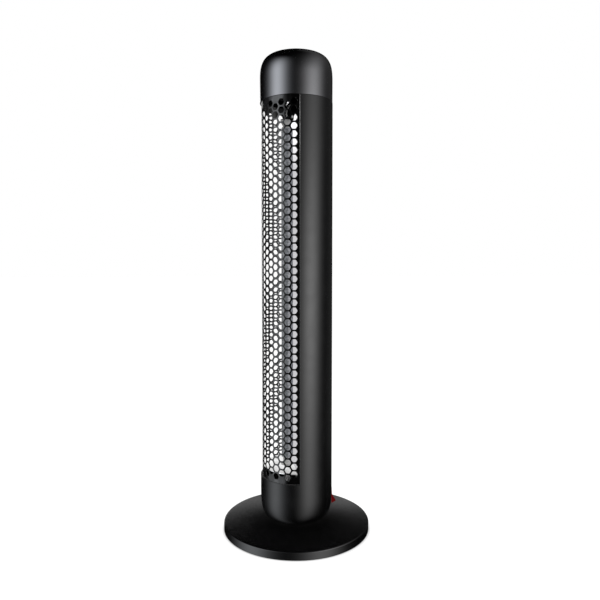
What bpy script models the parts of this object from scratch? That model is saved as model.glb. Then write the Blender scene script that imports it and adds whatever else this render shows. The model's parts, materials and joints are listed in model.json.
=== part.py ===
"""Free-standing infrared tower heater: a round column with a perforated guard, on a round weighted base.

Metres, +Z up. The origin is on the floor under the middle of the base. The guard faces -Y and the
power switch faces +Y.
"""

from math import acos, asin, atan2, cos, degrees, floor, hypot, pi, radians, sin, sqrt

import bmesh
import bpy
from mathutils import Matrix, Vector

# Clearances shared by the whole model.
GAP = 0.0003
CUT_OVERRUN = 0.002
UNION_SINK = 0.001

# Column: one moulded tube with a rounded foot and a tall window.
COLUMN_RADIUS = 0.062
COLUMN_WALL = 0.0025
FOOT_RUN = 0.028
FOOT_RISE = 0.0525
FOOT_POWER = 3.2
FOOT_FLOOR = 0.003
WIRE_HOLE_RADIUS = 0.010
WINDOW_BOTTOM = 0.0954
WINDOW_HALF_ANGLE = radians(85)
SPIGOT_WALL = 0.002
SPIGOT_HEIGHT = 0.0201
SPIGOT_DEPTH = 0.009

# Cap: a domed shell that closes the top.
CAP_RIM = 0.7316
CAP_HEIGHT = 0.0774
CAP_INSET = 0.0003
CAP_WALL = 0.002
CAP_CROWN_WALL = 0.0025
DOME_RUN = 0.029
DOME_DROP = 0.0437
DOME_POWER = 3.0
CAP_BOSS_RADIUS = 0.0042
CAP_BOSS_INSET = 0.016
CAP_SCREWS = 3
CAP_PLATE_SHEET = 0.0015

# Base: a shallow cover over a cast weight, closed by a bottom plate on rubber feet.
BASE_RADIUS = 0.1264
BASE_WALL = 0.002
RIM_TOP = 0.0141
RIM_ROUND = 0.002
SEAT_TOP = 0.0192
SEAT_RADIUS = 0.047
FOOT_PAD_HEIGHT = 0.0017
FOOT_PAD_RADIUS = 0.009
FOOT_PAD_INSET = 0.0224
FOOT_PADS = 6
PLATE_SHEET = 0.0015
WEIGHT_INNER = 0.052
WEIGHT_OUTER_INSET = 0.0234
WEIGHT_HEIGHT = 0.0065
WEIGHT_SLOT_WIDTH = 0.012
BASE_SCREW_INSET = 0.0134
BASE_BOSS_RADIUS = 0.0042
BASE_SCREWS = 4
COLUMN_SCREW_CIRCLE = 0.026
COLUMN_BOSS_RADIUS = 0.0052
COLUMN_BOSS_HEIGHT = 0.010
COLUMN_SCREWS = 4

# Cord outlet in the back of the base rim.
BUSH_BORE = 0.0032
BUSH_NECK = 0.0037
BUSH_LIP = 0.0039
BUSH_FLANGE = 0.0045
BUSH_FLANGE_DEPTH = 0.0010

# Guard: a bent sheet with staggered six-sided openings. One opening here stands for about
# five of the real ones, in the same arrangement.
GUARD_SHEET = 0.001
GUARD_PITCH = 0.0275
GUARD_BAR = 0.005
GUARD_SIDE_MARGIN = 0.003
GUARD_TUCK = 0.007
GUARD_FACET_FILL_SHARE = 0.95

# Reflector and the sheet-metal parts that hold the lamp.
SHEET = 0.0008
REFLECTOR_SIDE_GAP = 0.001
REFLECTOR_BELOW_WINDOW = 0.0404
RAIL_DEPTH = 0.003
RAIL_WIDTH = 0.0095
RAIL_HEAD_DEPTH = 0.009
RAIL_HEAD_HEIGHT = 0.024
BRACKET_SHEET = 0.0012
BRACKET_RISE = 0.020
FLOOR_FLANGE = 0.010

# Lamp: a milky quartz tube with ceramic ends.
LAMP_RADIUS = 0.0098
LAMP_WALL = 0.0015
LAMP_CLEAR_BELOW = 0.0297
LAMP_CLEAR_ABOVE = 0.0422
CERAMIC_PLUG = 0.010
CERAMIC_NECK_RADIUS = 0.0072
CERAMIC_NECK = 0.0110
CERAMIC_FLANGE_RADIUS = 0.0110
CERAMIC_FLANGE = 0.0025
PIN_RADIUS = 0.0026
PIN_LENGTH = 0.007
COIL_RADIUS = 0.0055

# Thermal cut-out on the back of the reflector.
CUTOUT_RADIUS = 0.008
CUTOUT_DEPTH = 0.009
CUTOUT_BELOW_RIM = 0.0916
CUTOUT_EAR_HALF_WIDTH = 0.0125
CUTOUT_EAR_HALF_HEIGHT = 0.0035
CUTOUT_EAR_SHEET = 0.0012

# Terminal block on the floor of the foot.
BLOCK_HALF_WIDTH = 0.012
BLOCK_DEPTH = 0.009
BLOCK_HEIGHT = 0.012
BLOCK_CLEARANCE = 0.0004
BLOCK_BEVEL = 0.0008
BLOCK_WAY_SPACING = 0.006

# Wires.
WIRE_RADIUS = 0.0013
WIRE_RUN_DEPTH = 0.010
WIRE_BEND = 0.012
WIRE_HOLE = 0.003
WIRE_HOLE_BELOW_PLATE = 0.022

# Power switch on the back of the column.
SWITCH_HEIGHT = 0.0511
SWITCH_PIVOT_DEPTH = 0.0042
ROCKER_HALF_WIDTH = 0.0055
ROCKER_REACH = 0.0088
ROCKER_END_HALF = 0.0128
ROCKER_VALLEY_REACH = 0.0062
ROCKER_SKIRT_REACH = 0.0030
ROCKER_SKIRT_HALF = 0.0144
ROCKER_BACK = 0.0020
ROCKER_TILT = radians(17)
ROCKER_BEVEL = 0.0006
ROCKER_PIN_RADIUS = 0.0012
ROCKER_PIN_LENGTH = 0.0008
SWITCH_SIDE_WALL = 0.0010
SWITCH_BODY_DEPTH = 0.0135
SWITCH_FLANGE_LAP = 0.0012
SWITCH_FLANGE = 0.0012
SWITCH_PAD_LAP = 0.0009
SWITCH_PAD_DEPTH = 0.0100
SWITCH_PAD_INSET = 0.0005
TAB_LENGTH = 0.007
TAB_HALF_WIDTH = 0.0004
TAB_HALF_HEIGHT = 0.0022
TAB_SPACING = 0.006

# Tip-over switch in the base.
PLUNGER_FROM_AXIS = 0.040
PLUNGER_RADIUS = 0.0040
PLUNGER_COLLAR = 0.0053
PLUNGER_COLLAR_HEIGHT = 0.0014
PLUNGER_TRAVEL = 0.0030
PLUNGER_TIP_LIFT = 0.0002
PLUNGER_ROUND = 0.0008
TIP_BOX_HALF = 0.0075
TIP_BOX_ROOF = 0.0035

# Screws: each family has a shank radius, a head radius and a head height.
SMALL_SHANK = 0.0014
SMALL_HEAD = 0.0028
SMALL_HEAD_HEIGHT = 0.0016
SMALL_LENGTH = 0.0055
BASE_SHANK = 0.0017
BASE_HEAD = 0.0033
BASE_HEAD_HEIGHT = 0.0012
COLUMN_SHANK = 0.0023
COLUMN_HEAD = 0.0042
COLUMN_HEAD_HEIGHT = 0.0025

# Facet counts.
LARGE_ROUND = 48
MEDIUM_ROUND = 32
SMALL_ROUND = 12
SCREW_ROUND = 8
DOME_POINTS = 7
FOOT_POINTS = 7
SHADE_ANGLE = radians(35)

# Radii that follow from the column.
HOUSING_INNER = COLUMN_RADIUS - COLUMN_WALL
CAP_RADIUS = COLUMN_RADIUS - CAP_INSET
CAP_INNER = CAP_RADIUS - CAP_WALL
SPIGOT_OUTER = CAP_INNER - GAP
SPIGOT_INNER = SPIGOT_OUTER - SPIGOT_WALL
GUARD_OUTER = HOUSING_INNER - GAP
GUARD_INNER = GUARD_OUTER - GUARD_SHEET

# Guard columns: the sheet is folded into one flat strip for each column of openings.
GUARD_COLUMN_STEP = 2 * asin(sqrt(3) / 4 * GUARD_PITCH / GUARD_OUTER)
GUARD_SIDE_COLUMNS = floor((WINDOW_HALF_ANGLE - GUARD_SIDE_MARGIN / GUARD_OUTER) / GUARD_COLUMN_STEP - 0.5)
GUARD_CLEAR_RADIUS = GUARD_INNER * cos(GUARD_COLUMN_STEP / 2) - GAP

# Depths of the flat stack behind the guard, all along Y.
RAIL_FRONT = GAP - GUARD_INNER * cos(WINDOW_HALF_ANGLE)
REFLECTOR_BACK = RAIL_FRONT - GAP
REFLECTOR_FRONT = REFLECTOR_BACK - SHEET
REFLECTOR_HALF_WIDTH = sqrt(GUARD_INNER**2 - REFLECTOR_FRONT**2) - REFLECTOR_SIDE_GAP
LAMP_Y = REFLECTOR_FRONT - GAP - LAMP_RADIUS

# Heights.
HOUSING_TOP = CAP_RIM - GAP
SPIGOT_TOP = CAP_RIM + SPIGOT_HEIGHT
CAP_PLATE_BOTTOM = SPIGOT_TOP + GAP
CAP_PLATE_TOP = CAP_PLATE_BOTTOM + CAP_PLATE_SHEET
TOTAL_HEIGHT = CAP_RIM + CAP_HEIGHT
REFLECTOR_TOP = SPIGOT_TOP
REFLECTOR_BOTTOM = WINDOW_BOTTOM - REFLECTOR_BELOW_WINDOW
LAMP_BOTTOM = WINDOW_BOTTOM + LAMP_CLEAR_BELOW
LAMP_TOP = CAP_RIM - LAMP_CLEAR_ABOVE
FLANGE_REACH = CERAMIC_NECK + CERAMIC_FLANGE
LAMP_FLOOR_TOP = LAMP_BOTTOM - FLANGE_REACH - GAP
BRACKET_BOTTOM = LAMP_TOP + FLANGE_REACH + GAP

# Base heights.
PLATE_BOTTOM = FOOT_PAD_HEIGHT + GAP
PLATE_TOP = PLATE_BOTTOM + PLATE_SHEET
SEAT_UNDERSIDE = SEAT_TOP - BASE_WALL
FOOT_BOTTOM = SEAT_TOP + GAP
FOOT_FLAT_RADIUS = COLUMN_RADIUS - FOOT_RUN
FLOOR_INSIDE = FOOT_BOTTOM + FOOT_FLOOR

# The terminal block stands where the foot's floor is still flat under its outer corners.
FLOOR_FLAT_RADIUS = HOUSING_INNER - FOOT_RUN
BLOCK_OUTER = sqrt(FLOOR_FLAT_RADIUS**2 - BLOCK_HALF_WIDTH**2) - BLOCK_CLEARANCE
BLOCK_FROM_AXIS = BLOCK_OUTER - BLOCK_DEPTH

# Switch depths along +Y.
PAD_FACE = COLUMN_RADIUS - SWITCH_PAD_INSET
SWITCH_FACE = PAD_FACE - SWITCH_FLANGE
PIVOT_Y = COLUMN_RADIUS - SWITCH_PIVOT_DEPTH
SWITCH_CAVITY_HALF_HEIGHT = (
    max(
        ROCKER_SKIRT_REACH * sin(ROCKER_TILT) + ROCKER_SKIRT_HALF * cos(ROCKER_TILT),
        ROCKER_REACH * sin(ROCKER_TILT) + ROCKER_END_HALF * cos(ROCKER_TILT),
    )
    + GAP
)
SWITCH_CAVITY_HALF_WIDTH = ROCKER_HALF_WIDTH + ROCKER_PIN_LENGTH / 2 + GAP
SWITCH_CAVITY_DEPTH = ROCKER_BACK * cos(ROCKER_TILT) + ROCKER_SKIRT_HALF * sin(ROCKER_TILT) + GAP
SWITCH_BODY_HALF_WIDTH = SWITCH_CAVITY_HALF_WIDTH + SWITCH_SIDE_WALL
SWITCH_BODY_HALF_HEIGHT = SWITCH_CAVITY_HALF_HEIGHT + SWITCH_SIDE_WALL
SWITCH_FLANGE_HALF_WIDTH = SWITCH_BODY_HALF_WIDTH + SWITCH_FLANGE_LAP
SWITCH_FLANGE_HALF_HEIGHT = SWITCH_BODY_HALF_HEIGHT + SWITCH_FLANGE_LAP
SWITCH_BACK = PIVOT_Y - SWITCH_BODY_DEPTH

COLLECTION_NAME = "infrared_tower_heater"


def clear_scene():
    for obj in list(bpy.data.objects):
        bpy.data.objects.remove(obj, do_unlink=True)


def new_collection(name):
    collection = bpy.data.collections.new(name)
    bpy.context.scene.collection.children.link(collection)
    return collection


def material(name, colour, roughness, metallic=0.0):
    made = bpy.data.materials.new(name)
    made.use_nodes = True
    shader = made.node_tree.nodes["Principled BSDF"]
    shader.inputs["Base Color"].default_value = (*colour, 1.0)
    shader.inputs["Roughness"].default_value = roughness
    shader.inputs["Metallic"].default_value = metallic
    return made


def add_object(name, mesh, surface):
    """A named part in the heater's collection."""
    obj = bpy.data.objects.new(name, mesh)
    parts.objects.link(obj)
    if surface is not None:
        mesh.materials.append(surface)
    return obj


def as_tool(obj):
    """Moves a shape to the cutters: it stays out of renders and only feeds Booleans."""
    parts.objects.unlink(obj)
    cutters.objects.link(obj)
    obj.hide_render = True
    obj.display_type = "WIRE"
    return obj


def boolean(target, tool, operation):
    modifier = target.modifiers.new(operation.lower() + "_" + tool.name, "BOOLEAN")
    modifier.operation = operation
    modifier.solver = "EXACT"
    modifier.object = as_tool(tool)
    return target


def cut(target, *tools):
    for tool in tools:
        boolean(target, tool, "DIFFERENCE")
    return target


def join(target, *tools):
    for tool in tools:
        boolean(target, tool, "UNION")
    return target


def mesh_from(build):
    """Runs build(bmesh) and returns the mesh with its faces pointing out."""
    bm = bmesh.new()
    build(bm)
    bmesh.ops.recalc_face_normals(bm, faces=bm.faces)
    mesh = bpy.data.meshes.new("shape")
    bm.to_mesh(mesh)
    bm.free()
    return mesh


def block(name, x, y, z, surface=None, bevel=0.0):
    """A box between the given (low, high) pairs."""
    size = Vector((x[1] - x[0], y[1] - y[0], z[1] - z[0]))
    middle = Vector((x[0] + x[1], y[0] + y[1], z[0] + z[1])) / 2

    def build(bm):
        bmesh.ops.create_cube(bm, size=1.0, matrix=Matrix.LocRotScale(middle, None, size))

    obj = add_object(name, mesh_from(build), surface)
    if bevel:
        rounding = obj.modifiers.new("rounded_edges", "BEVEL")
        rounding.width = bevel
        rounding.segments = 2
    return obj


def rod(name, radius, bottom, top, at=(0.0, 0.0), surface=None, segments=SMALL_ROUND):
    """An upright cylinder."""

    def build(bm):
        place = Matrix.Translation((at[0], at[1], (bottom + top) / 2))
        bmesh.ops.create_cone(
            bm,
            cap_ends=True,
            segments=segments,
            radius1=radius,
            radius2=radius,
            depth=top - bottom,
            matrix=place,
        )

    return add_object(name, mesh_from(build), surface)


def rod_along_y(name, radius, front, back, x, z, surface=None, segments=SMALL_ROUND):
    """A cylinder along Y from front to back."""

    def build(bm):
        turn = Matrix.Rotation(radians(90), 4, "X")
        bmesh.ops.create_cone(
            bm,
            cap_ends=True,
            segments=segments,
            radius1=radius,
            radius2=radius,
            depth=back - front,
            matrix=Matrix.Translation((x, (front + back) / 2, z)) @ turn,
        )

    return add_object(name, mesh_from(build), surface)


def lathe(name, profile, surface=None, steps=LARGE_ROUND):
    """Turns (radius, height) points about Z. They run down the outer side and back up the inner one."""
    points = [(radius, 0.0, height) for radius, height in profile]
    edges = [(n, n + 1) for n in range(len(points) - 1)]
    if profile[0][0] > 0 or profile[-1][0] > 0:
        edges.append((len(points) - 1, 0))
    mesh = bpy.data.meshes.new("profile")
    mesh.from_pydata(points, edges, [])
    obj = add_object(name, mesh, surface)
    turn = obj.modifiers.new("turned", "SCREW")
    turn.axis = "Z"
    turn.angle = 2 * pi
    turn.steps = steps
    turn.render_steps = steps
    turn.use_merge_vertices = True
    turn.merge_threshold = 0.00001
    return obj


def prism(name, outline, low, high, surface=None):
    """An upright prism over an outline of (x, y) points."""

    def build(bm):
        corners = [bm.verts.new((x, y, low)) for x, y in outline]
        bottom = bm.faces.new(corners)
        lifted = bmesh.ops.extrude_face_region(bm, geom=[bottom])["geom"]
        top = [item for item in lifted if isinstance(item, bmesh.types.BMVert)]
        bmesh.ops.translate(bm, verts=top, vec=(0, 0, high - low))

    return add_object(name, mesh_from(build), surface)


def rounded_corner(radius, run, end_height, rise, power, count):
    """Points from (radius - run, end_height) out to (radius, end_height + rise), bulging outward.

    They follow a superellipse quarter. A negative rise gives the corner under a top.
    """
    points = []
    for n in range(count + 1):
        turn = pi / 2 * n / count
        across = sin(turn) ** (2 / power)
        along = 1 - cos(turn) ** (2 / power)
        points.append((radius - run + run * across, end_height + rise * along))
    return points


def screw(name, shank, head, head_height, length, surface):
    """A pan-head screw, head down, with the underside of its head at the origin's height."""
    profile = [
        (0.0, length),
        (shank / 2, length),
        (shank, length - shank),
        (shank, 0.0),
        (head, 0.0),
        (head, -head_height * 2 / 3),
        (head * 2 / 3, -head_height),
        (0.0, -head_height),
    ]
    return lathe(name, profile, surface, SCREW_ROUND)


def smooth_route(corners, between=4):
    """Points of a smooth curve through the corners. It leaves and arrives straight."""
    ends = [corners[0], *corners, corners[-1]]
    headings = [(after - before).normalized() for before, after in zip(ends, ends[2:])]
    route = []
    for start, finish, leave, arrive in zip(corners, corners[1:], headings, headings[1:]):
        length = (finish - start).length
        for n in range(between):
            t = n / between
            bend = leave * t * (1 - t) ** 2 - arrive * t**2 * (1 - t)
            route.append(start * (1 + 2 * t) * (1 - t) ** 2 + finish * (3 - 2 * t) * t**2 + length * bend)
    route.append(corners[-1])
    return route


def wire(name, corners, surface):
    """An insulated wire through the corners, as a closed mesh."""
    curve = bpy.data.curves.new(name, "CURVE")
    curve.dimensions = "3D"
    curve.bevel_depth = WIRE_RADIUS
    curve.bevel_resolution = 1
    curve.use_fill_caps = True
    route = smooth_route([Vector(corner) for corner in corners])
    spline = curve.splines.new("POLY")
    spline.points.add(len(route) - 1)
    for point, place in zip(spline.points, route):
        point.co = (*place, 1.0)
    guide = bpy.data.objects.new(name + "_route", curve)
    parts.objects.link(guide)
    bpy.context.view_layer.update()
    graph = bpy.context.evaluated_depsgraph_get()
    mesh = bpy.data.meshes.new_from_object(guide.evaluated_get(graph))
    bpy.data.objects.remove(guide, do_unlink=True)
    bm = bmesh.new()
    bm.from_mesh(mesh)
    bmesh.ops.remove_doubles(bm, verts=bm.verts, dist=WIRE_RADIUS / 100)
    bmesh.ops.recalc_face_normals(bm, faces=bm.faces)
    bm.to_mesh(mesh)
    bm.free()
    return add_object(name, mesh, surface)


def ring_places(count, circle, first_angle):
    """Evenly spaced (x, y) places on a circle."""
    angles = [first_angle + 2 * pi * n / count for n in range(count)]
    return [(circle * cos(angle), circle * sin(angle)) for angle in angles]


def guard_direction(angle):
    """The outward direction at an angle from the middle of the window, positive towards +X."""
    return Vector((sin(angle), -cos(angle), 0.0))


def arc_outline(radius, half_angle, count):
    """Points on an arc about the window's middle, from the -X side to the +X side."""
    turns = [half_angle * (2 * n / count - 1) for n in range(count + 1)]
    return [tuple(radius * guard_direction(turn).xy) for turn in turns]


# Base.

BASE_SCREW_PLACES = ring_places(BASE_SCREWS, BASE_RADIUS - BASE_SCREW_INSET, radians(45))
COLUMN_SCREW_PLACES = ring_places(COLUMN_SCREWS, COLUMN_SCREW_CIRCLE, radians(45))
FOOT_PAD_PLACES = ring_places(FOOT_PADS, BASE_RADIUS - FOOT_PAD_INSET, 0.0)


def base_top(radius):
    """Height of the cover's outer surface between the seat and the rim."""
    share = (radius - SEAT_RADIUS) / (BASE_RADIUS - RIM_ROUND - SEAT_RADIUS)
    return SEAT_TOP + (RIM_TOP - SEAT_TOP) * share


def base_cover():
    inner_radius = BASE_RADIUS - BASE_WALL
    rim = rounded_corner(BASE_RADIUS, RIM_ROUND, RIM_TOP, -RIM_ROUND, 2, 3)
    profile = [
        (WIRE_HOLE_RADIUS, SEAT_TOP),
        (SEAT_RADIUS, SEAT_TOP),
        *rim,
        (BASE_RADIUS, PLATE_BOTTOM),
        (inner_radius, PLATE_BOTTOM),
        (inner_radius, RIM_TOP - BASE_WALL),
        (SEAT_RADIUS, SEAT_UNDERSIDE),
        (WIRE_HOLE_RADIUS, SEAT_UNDERSIDE),
    ]
    cover = lathe("base_cover", profile, black_plastic)
    for n, place in enumerate(BASE_SCREW_PLACES):
        top = base_top(hypot(*place)) - BASE_WALL + UNION_SINK
        join(cover, rod(f"base_boss_{n}", BASE_BOSS_RADIUS, PLATE_TOP + GAP, top, place))
        hole_top = top - UNION_SINK
        cut(cover, rod(f"base_pilot_{n}", BASE_SHANK + GAP, PLATE_TOP - CUT_OVERRUN, hole_top, place))
    for n, place in enumerate(COLUMN_SCREW_PLACES):
        bottom = SEAT_UNDERSIDE - CUT_OVERRUN
        top = SEAT_TOP + CUT_OVERRUN
        cut(cover, rod(f"seat_hole_{n}", COLUMN_SHANK + GAP, bottom, top, place))
    height = bush_height()
    neck_end = BASE_RADIUS + CUT_OVERRUN
    pocket = BASE_RADIUS - BUSH_FLANGE_DEPTH - GAP
    hole_start = inner_radius - CUT_OVERRUN
    cut(cover, rod_along_y("bush_hole", BUSH_NECK + GAP, hole_start, neck_end, 0.0, height))
    cut(cover, rod_along_y("bush_pocket", BUSH_FLANGE + GAP, pocket, neck_end, 0.0, height))
    return cover


def bush_height():
    """The bush sits midway up the rim's upright part."""
    return (PLATE_TOP + RIM_TOP - RIM_ROUND) / 2


def cord_bush():
    inner_radius = BASE_RADIUS - BASE_WALL
    outer_face = BASE_RADIUS - GAP / 2
    pocket = BASE_RADIUS - BUSH_FLANGE_DEPTH
    lip_start = inner_radius - 2 * GAP
    lip_end = lip_start - BUSH_FLANGE_DEPTH
    profile = [
        (BUSH_BORE, outer_face),
        (BUSH_FLANGE, outer_face - GAP),
        (BUSH_FLANGE, pocket),
        (BUSH_NECK, pocket),
        (BUSH_NECK, lip_start),
        (BUSH_LIP, lip_start),
        (BUSH_LIP, lip_end),
        (BUSH_BORE, lip_end),
    ]
    bush = lathe("cord_bush", profile, rubber, SMALL_ROUND)
    bush.rotation_euler = (radians(-90), 0, 0)
    bush.location = (0, 0, bush_height())
    return bush


def base_weight():
    outer = BASE_RADIUS - WEIGHT_OUTER_INSET
    bottom = PLATE_TOP + GAP
    top = bottom + WEIGHT_HEIGHT
    profile = [(WEIGHT_INNER, top), (outer, top), (outer, bottom), (WEIGHT_INNER, bottom)]
    weight = lathe("base_weight", profile, cast_iron, MEDIUM_ROUND)
    half = WEIGHT_SLOT_WIDTH / 2
    slot_y = (0.0, outer + CUT_OVERRUN)
    slot_z = (bottom - CUT_OVERRUN, top + CUT_OVERRUN)
    return cut(weight, block("cord_slot", (-half, half), slot_y, slot_z))


def base_plate():
    radius = BASE_RADIUS - BASE_WALL - GAP
    plate = rod("base_plate", radius, PLATE_BOTTOM, PLATE_TOP, surface=zinc_steel, segments=LARGE_ROUND)
    low = PLATE_BOTTOM - CUT_OVERRUN
    high = PLATE_TOP + CUT_OVERRUN
    for n, place in enumerate(BASE_SCREW_PLACES):
        cut(plate, rod(f"plate_hole_{n}", BASE_SHANK + GAP, low, high, place))
    hole = PLUNGER_RADIUS + GAP
    return cut(plate, rod("plunger_hole", hole, low, high, (0.0, -PLUNGER_FROM_AXIS), segments=MEDIUM_ROUND))


def base_screws():
    for n, place in enumerate(BASE_SCREW_PLACES, 1):
        boss_end = base_top(hypot(*place)) - BASE_WALL
        length = boss_end - PLATE_BOTTOM - 2 * GAP
        made = screw(f"base_screw_{n}", BASE_SHANK, BASE_HEAD, BASE_HEAD_HEIGHT, length, zinc_steel)
        made.location = (*place, PLATE_BOTTOM - GAP)


def foot_pads():
    chamfer = FOOT_PAD_HEIGHT / 4
    profile = [
        (0.0, FOOT_PAD_HEIGHT),
        (FOOT_PAD_RADIUS, FOOT_PAD_HEIGHT),
        (FOOT_PAD_RADIUS, chamfer),
        (FOOT_PAD_RADIUS - chamfer, 0.0),
        (0.0, 0.0),
    ]
    for n, place in enumerate(FOOT_PAD_PLACES, 1):
        pad = lathe(f"foot_pad_{n}", profile, rubber, SMALL_ROUND)
        pad.location = (*place, 0.0)


def tip_over_switch():
    half = TIP_BOX_HALF
    bottom = PLATE_TOP + GAP
    bore_top = bottom + PLUNGER_TRAVEL + PLUNGER_COLLAR_HEIGHT + GAP
    y = (-PLUNGER_FROM_AXIS - half, -PLUNGER_FROM_AXIS + half)
    box = block("tip_over_switch", (-half, half), y, (bottom, bore_top + TIP_BOX_ROOF), black_plastic)
    place = (0.0, -PLUNGER_FROM_AXIS)
    bore = rod("plunger_bore", PLUNGER_COLLAR + GAP, bottom - CUT_OVERRUN, bore_top, place)
    return cut(box, bore)


def tip_over_plunger():
    """Drawn pushed in, as the floor holds it. The object's origin is on the sliding axis."""
    collar_bottom = PLATE_TOP + GAP + PLUNGER_TRAVEL
    collar_top = collar_bottom + PLUNGER_COLLAR_HEIGHT
    profile = [
        (0.0, collar_top),
        (PLUNGER_COLLAR, collar_top),
        (PLUNGER_COLLAR, collar_bottom),
        (PLUNGER_RADIUS, collar_bottom),
        (PLUNGER_RADIUS, PLUNGER_TIP_LIFT + PLUNGER_ROUND),
        (PLUNGER_RADIUS - PLUNGER_ROUND, PLUNGER_TIP_LIFT),
        (0.0, PLUNGER_TIP_LIFT),
    ]
    plunger = lathe("tip_over_plunger", profile, dark_plastic, SMALL_ROUND)
    plunger.location = (0, -PLUNGER_FROM_AXIS, 0)
    return plunger


# Column.


def column_profile():
    """The housing's section: outer wall down to the foot, then the inner wall back up to the spigot."""
    outer_foot = rounded_corner(
        COLUMN_RADIUS, FOOT_RUN, FOOT_BOTTOM, FOOT_RISE, FOOT_POWER, FOOT_POINTS
    )
    inner_foot = rounded_corner(
        HOUSING_INNER, FOOT_RUN, FLOOR_INSIDE, FOOT_RISE, FOOT_POWER, FOOT_POINTS
    )
    step = HOUSING_INNER - SPIGOT_INNER
    ledge = HOUSING_TOP - SPIGOT_DEPTH
    return [
        (SPIGOT_INNER, SPIGOT_TOP),
        (SPIGOT_OUTER, SPIGOT_TOP),
        (SPIGOT_OUTER, HOUSING_TOP),
        (COLUMN_RADIUS, HOUSING_TOP),
        *reversed(outer_foot),
        (WIRE_HOLE_RADIUS, FOOT_BOTTOM),
        (WIRE_HOLE_RADIUS, FLOOR_INSIDE),
        *inner_foot,
        (HOUSING_INNER, ledge - step),
        (SPIGOT_INNER, ledge),
    ]


def window_tool():
    """A wedge over the whole width of the window, from its sill up past the spigot."""
    reach = COLUMN_RADIUS + CUT_OVERRUN
    outline = [(0.0, 0.0), *arc_outline(reach, WINDOW_HALF_ANGLE, MEDIUM_ROUND)]
    return prism("window_tool", outline, WINDOW_BOTTOM, SPIGOT_TOP + CUT_OVERRUN)


def guard_slot_tool():
    """Clears the spigot's two front ends, where the guard's upper corners stand."""
    half_width = HOUSING_INNER
    depth = RAIL_FRONT
    low = HOUSING_TOP - SPIGOT_DEPTH - CUT_OVERRUN - (HOUSING_INNER - SPIGOT_INNER)
    high = SPIGOT_TOP + CUT_OVERRUN
    return block("guard_slot_tool", (-half_width, half_width), (-COLUMN_RADIUS, depth), (low, high))


def rails(housing):
    """Two upright rails inside the wall, behind the reflector's edges, with thicker heads at the top."""
    outer = HOUSING_INNER + UNION_SINK
    inner = HOUSING_INNER - RAIL_WIDTH
    bottom = REFLECTOR_BOTTOM
    head_bottom = SPIGOT_TOP - RAIL_HEAD_HEIGHT
    head_outer = SPIGOT_INNER + SPIGOT_WALL / 2
    for side, name in ((-1, "left"), (1, "right")):
        rail_x = sorted((side * inner, side * outer))
        head_x = sorted((side * inner, side * head_outer))
        rail_y = (RAIL_FRONT, RAIL_FRONT + RAIL_DEPTH)
        head_y = (RAIL_FRONT, RAIL_FRONT + RAIL_HEAD_DEPTH)
        rail_top = head_bottom + UNION_SINK
        join(housing, block("rail_" + name, rail_x, rail_y, (bottom, rail_top)))
        join(housing, block("rail_head_" + name, head_x, head_y, (head_bottom, SPIGOT_TOP)))


def rail_middle():
    """Distance of the rail screws from the middle plane."""
    return HOUSING_INNER - RAIL_WIDTH / 2 - REFLECTOR_SIDE_GAP


def cap_plate_screw_places():
    middle = RAIL_FRONT + RAIL_HEAD_DEPTH / 2
    return [(side * rail_middle(), middle) for side in (-1, 1)]


def reflector_screw_places():
    """(x, z) of the four screws. They lie beyond both ends of the window, so they don't show."""
    below = (REFLECTOR_BOTTOM + WINDOW_BOTTOM - GUARD_TUCK) / 2
    above = SPIGOT_TOP - RAIL_HEAD_HEIGHT / 4
    return [(side * rail_middle(), z) for side in (-1, 1) for z in (below, above)]


def column_housing():
    housing = lathe("column_housing", column_profile(), black_plastic)
    cut(housing, window_tool())
    cut(housing, guard_slot_tool())
    rails(housing)
    for n, place in enumerate(COLUMN_SCREW_PLACES):
        low = FLOOR_INSIDE - UNION_SINK
        high = FLOOR_INSIDE + COLUMN_BOSS_HEIGHT
        join(housing, rod(f"column_boss_{n}", COLUMN_BOSS_RADIUS, low, high, place))
        drill_low = FOOT_BOTTOM - CUT_OVERRUN
        drill_high = high + CUT_OVERRUN
        cut(housing, rod(f"column_pilot_{n}", COLUMN_SHANK + GAP, drill_low, drill_high, place))
    half_width = SWITCH_FLANGE_HALF_WIDTH + SWITCH_PAD_LAP
    half_height = SWITCH_FLANGE_HALF_HEIGHT + SWITCH_PAD_LAP
    pad_x = (-half_width, half_width)
    pad_z = (SWITCH_HEIGHT - half_height, SWITCH_HEIGHT + half_height)
    beyond = COLUMN_RADIUS + CUT_OVERRUN
    join(housing, block("switch_pad", pad_x, (PAD_FACE - SWITCH_PAD_DEPTH, PAD_FACE), pad_z))
    cut(housing, block("switch_flat", pad_x, (PAD_FACE, beyond), pad_z))
    pocket_x = SWITCH_FLANGE_HALF_WIDTH + GAP
    pocket_z = (
        SWITCH_HEIGHT - SWITCH_FLANGE_HALF_HEIGHT - GAP,
        SWITCH_HEIGHT + SWITCH_FLANGE_HALF_HEIGHT + GAP,
    )
    cut(housing, block("switch_pocket", (-pocket_x, pocket_x), (SWITCH_FACE - GAP, beyond), pocket_z))
    hole_x = SWITCH_BODY_HALF_WIDTH + GAP
    hole_z = SWITCH_BODY_HALF_HEIGHT + GAP
    hole_y = (SWITCH_BACK - CUT_OVERRUN, beyond)
    hole_height = (SWITCH_HEIGHT - hole_z, SWITCH_HEIGHT + hole_z)
    cut(housing, block("switch_hole", (-hole_x, hole_x), hole_y, hole_height))
    for n, (x, z) in enumerate(reflector_screw_places()):
        front = RAIL_FRONT - CUT_OVERRUN
        back = RAIL_FRONT + RAIL_HEAD_DEPTH / 2 + RAIL_DEPTH / 2
        cut(housing, rod_along_y(f"rail_pilot_{n}", SMALL_SHANK + GAP, front, back, x, z))
    for n, place in enumerate(cap_plate_screw_places()):
        low = SPIGOT_TOP - SMALL_LENGTH - GAP
        high = SPIGOT_TOP + CUT_OVERRUN
        cut(housing, rod(f"head_pilot_{n}", SMALL_SHANK + GAP, low, high, place))
    return housing


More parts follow.
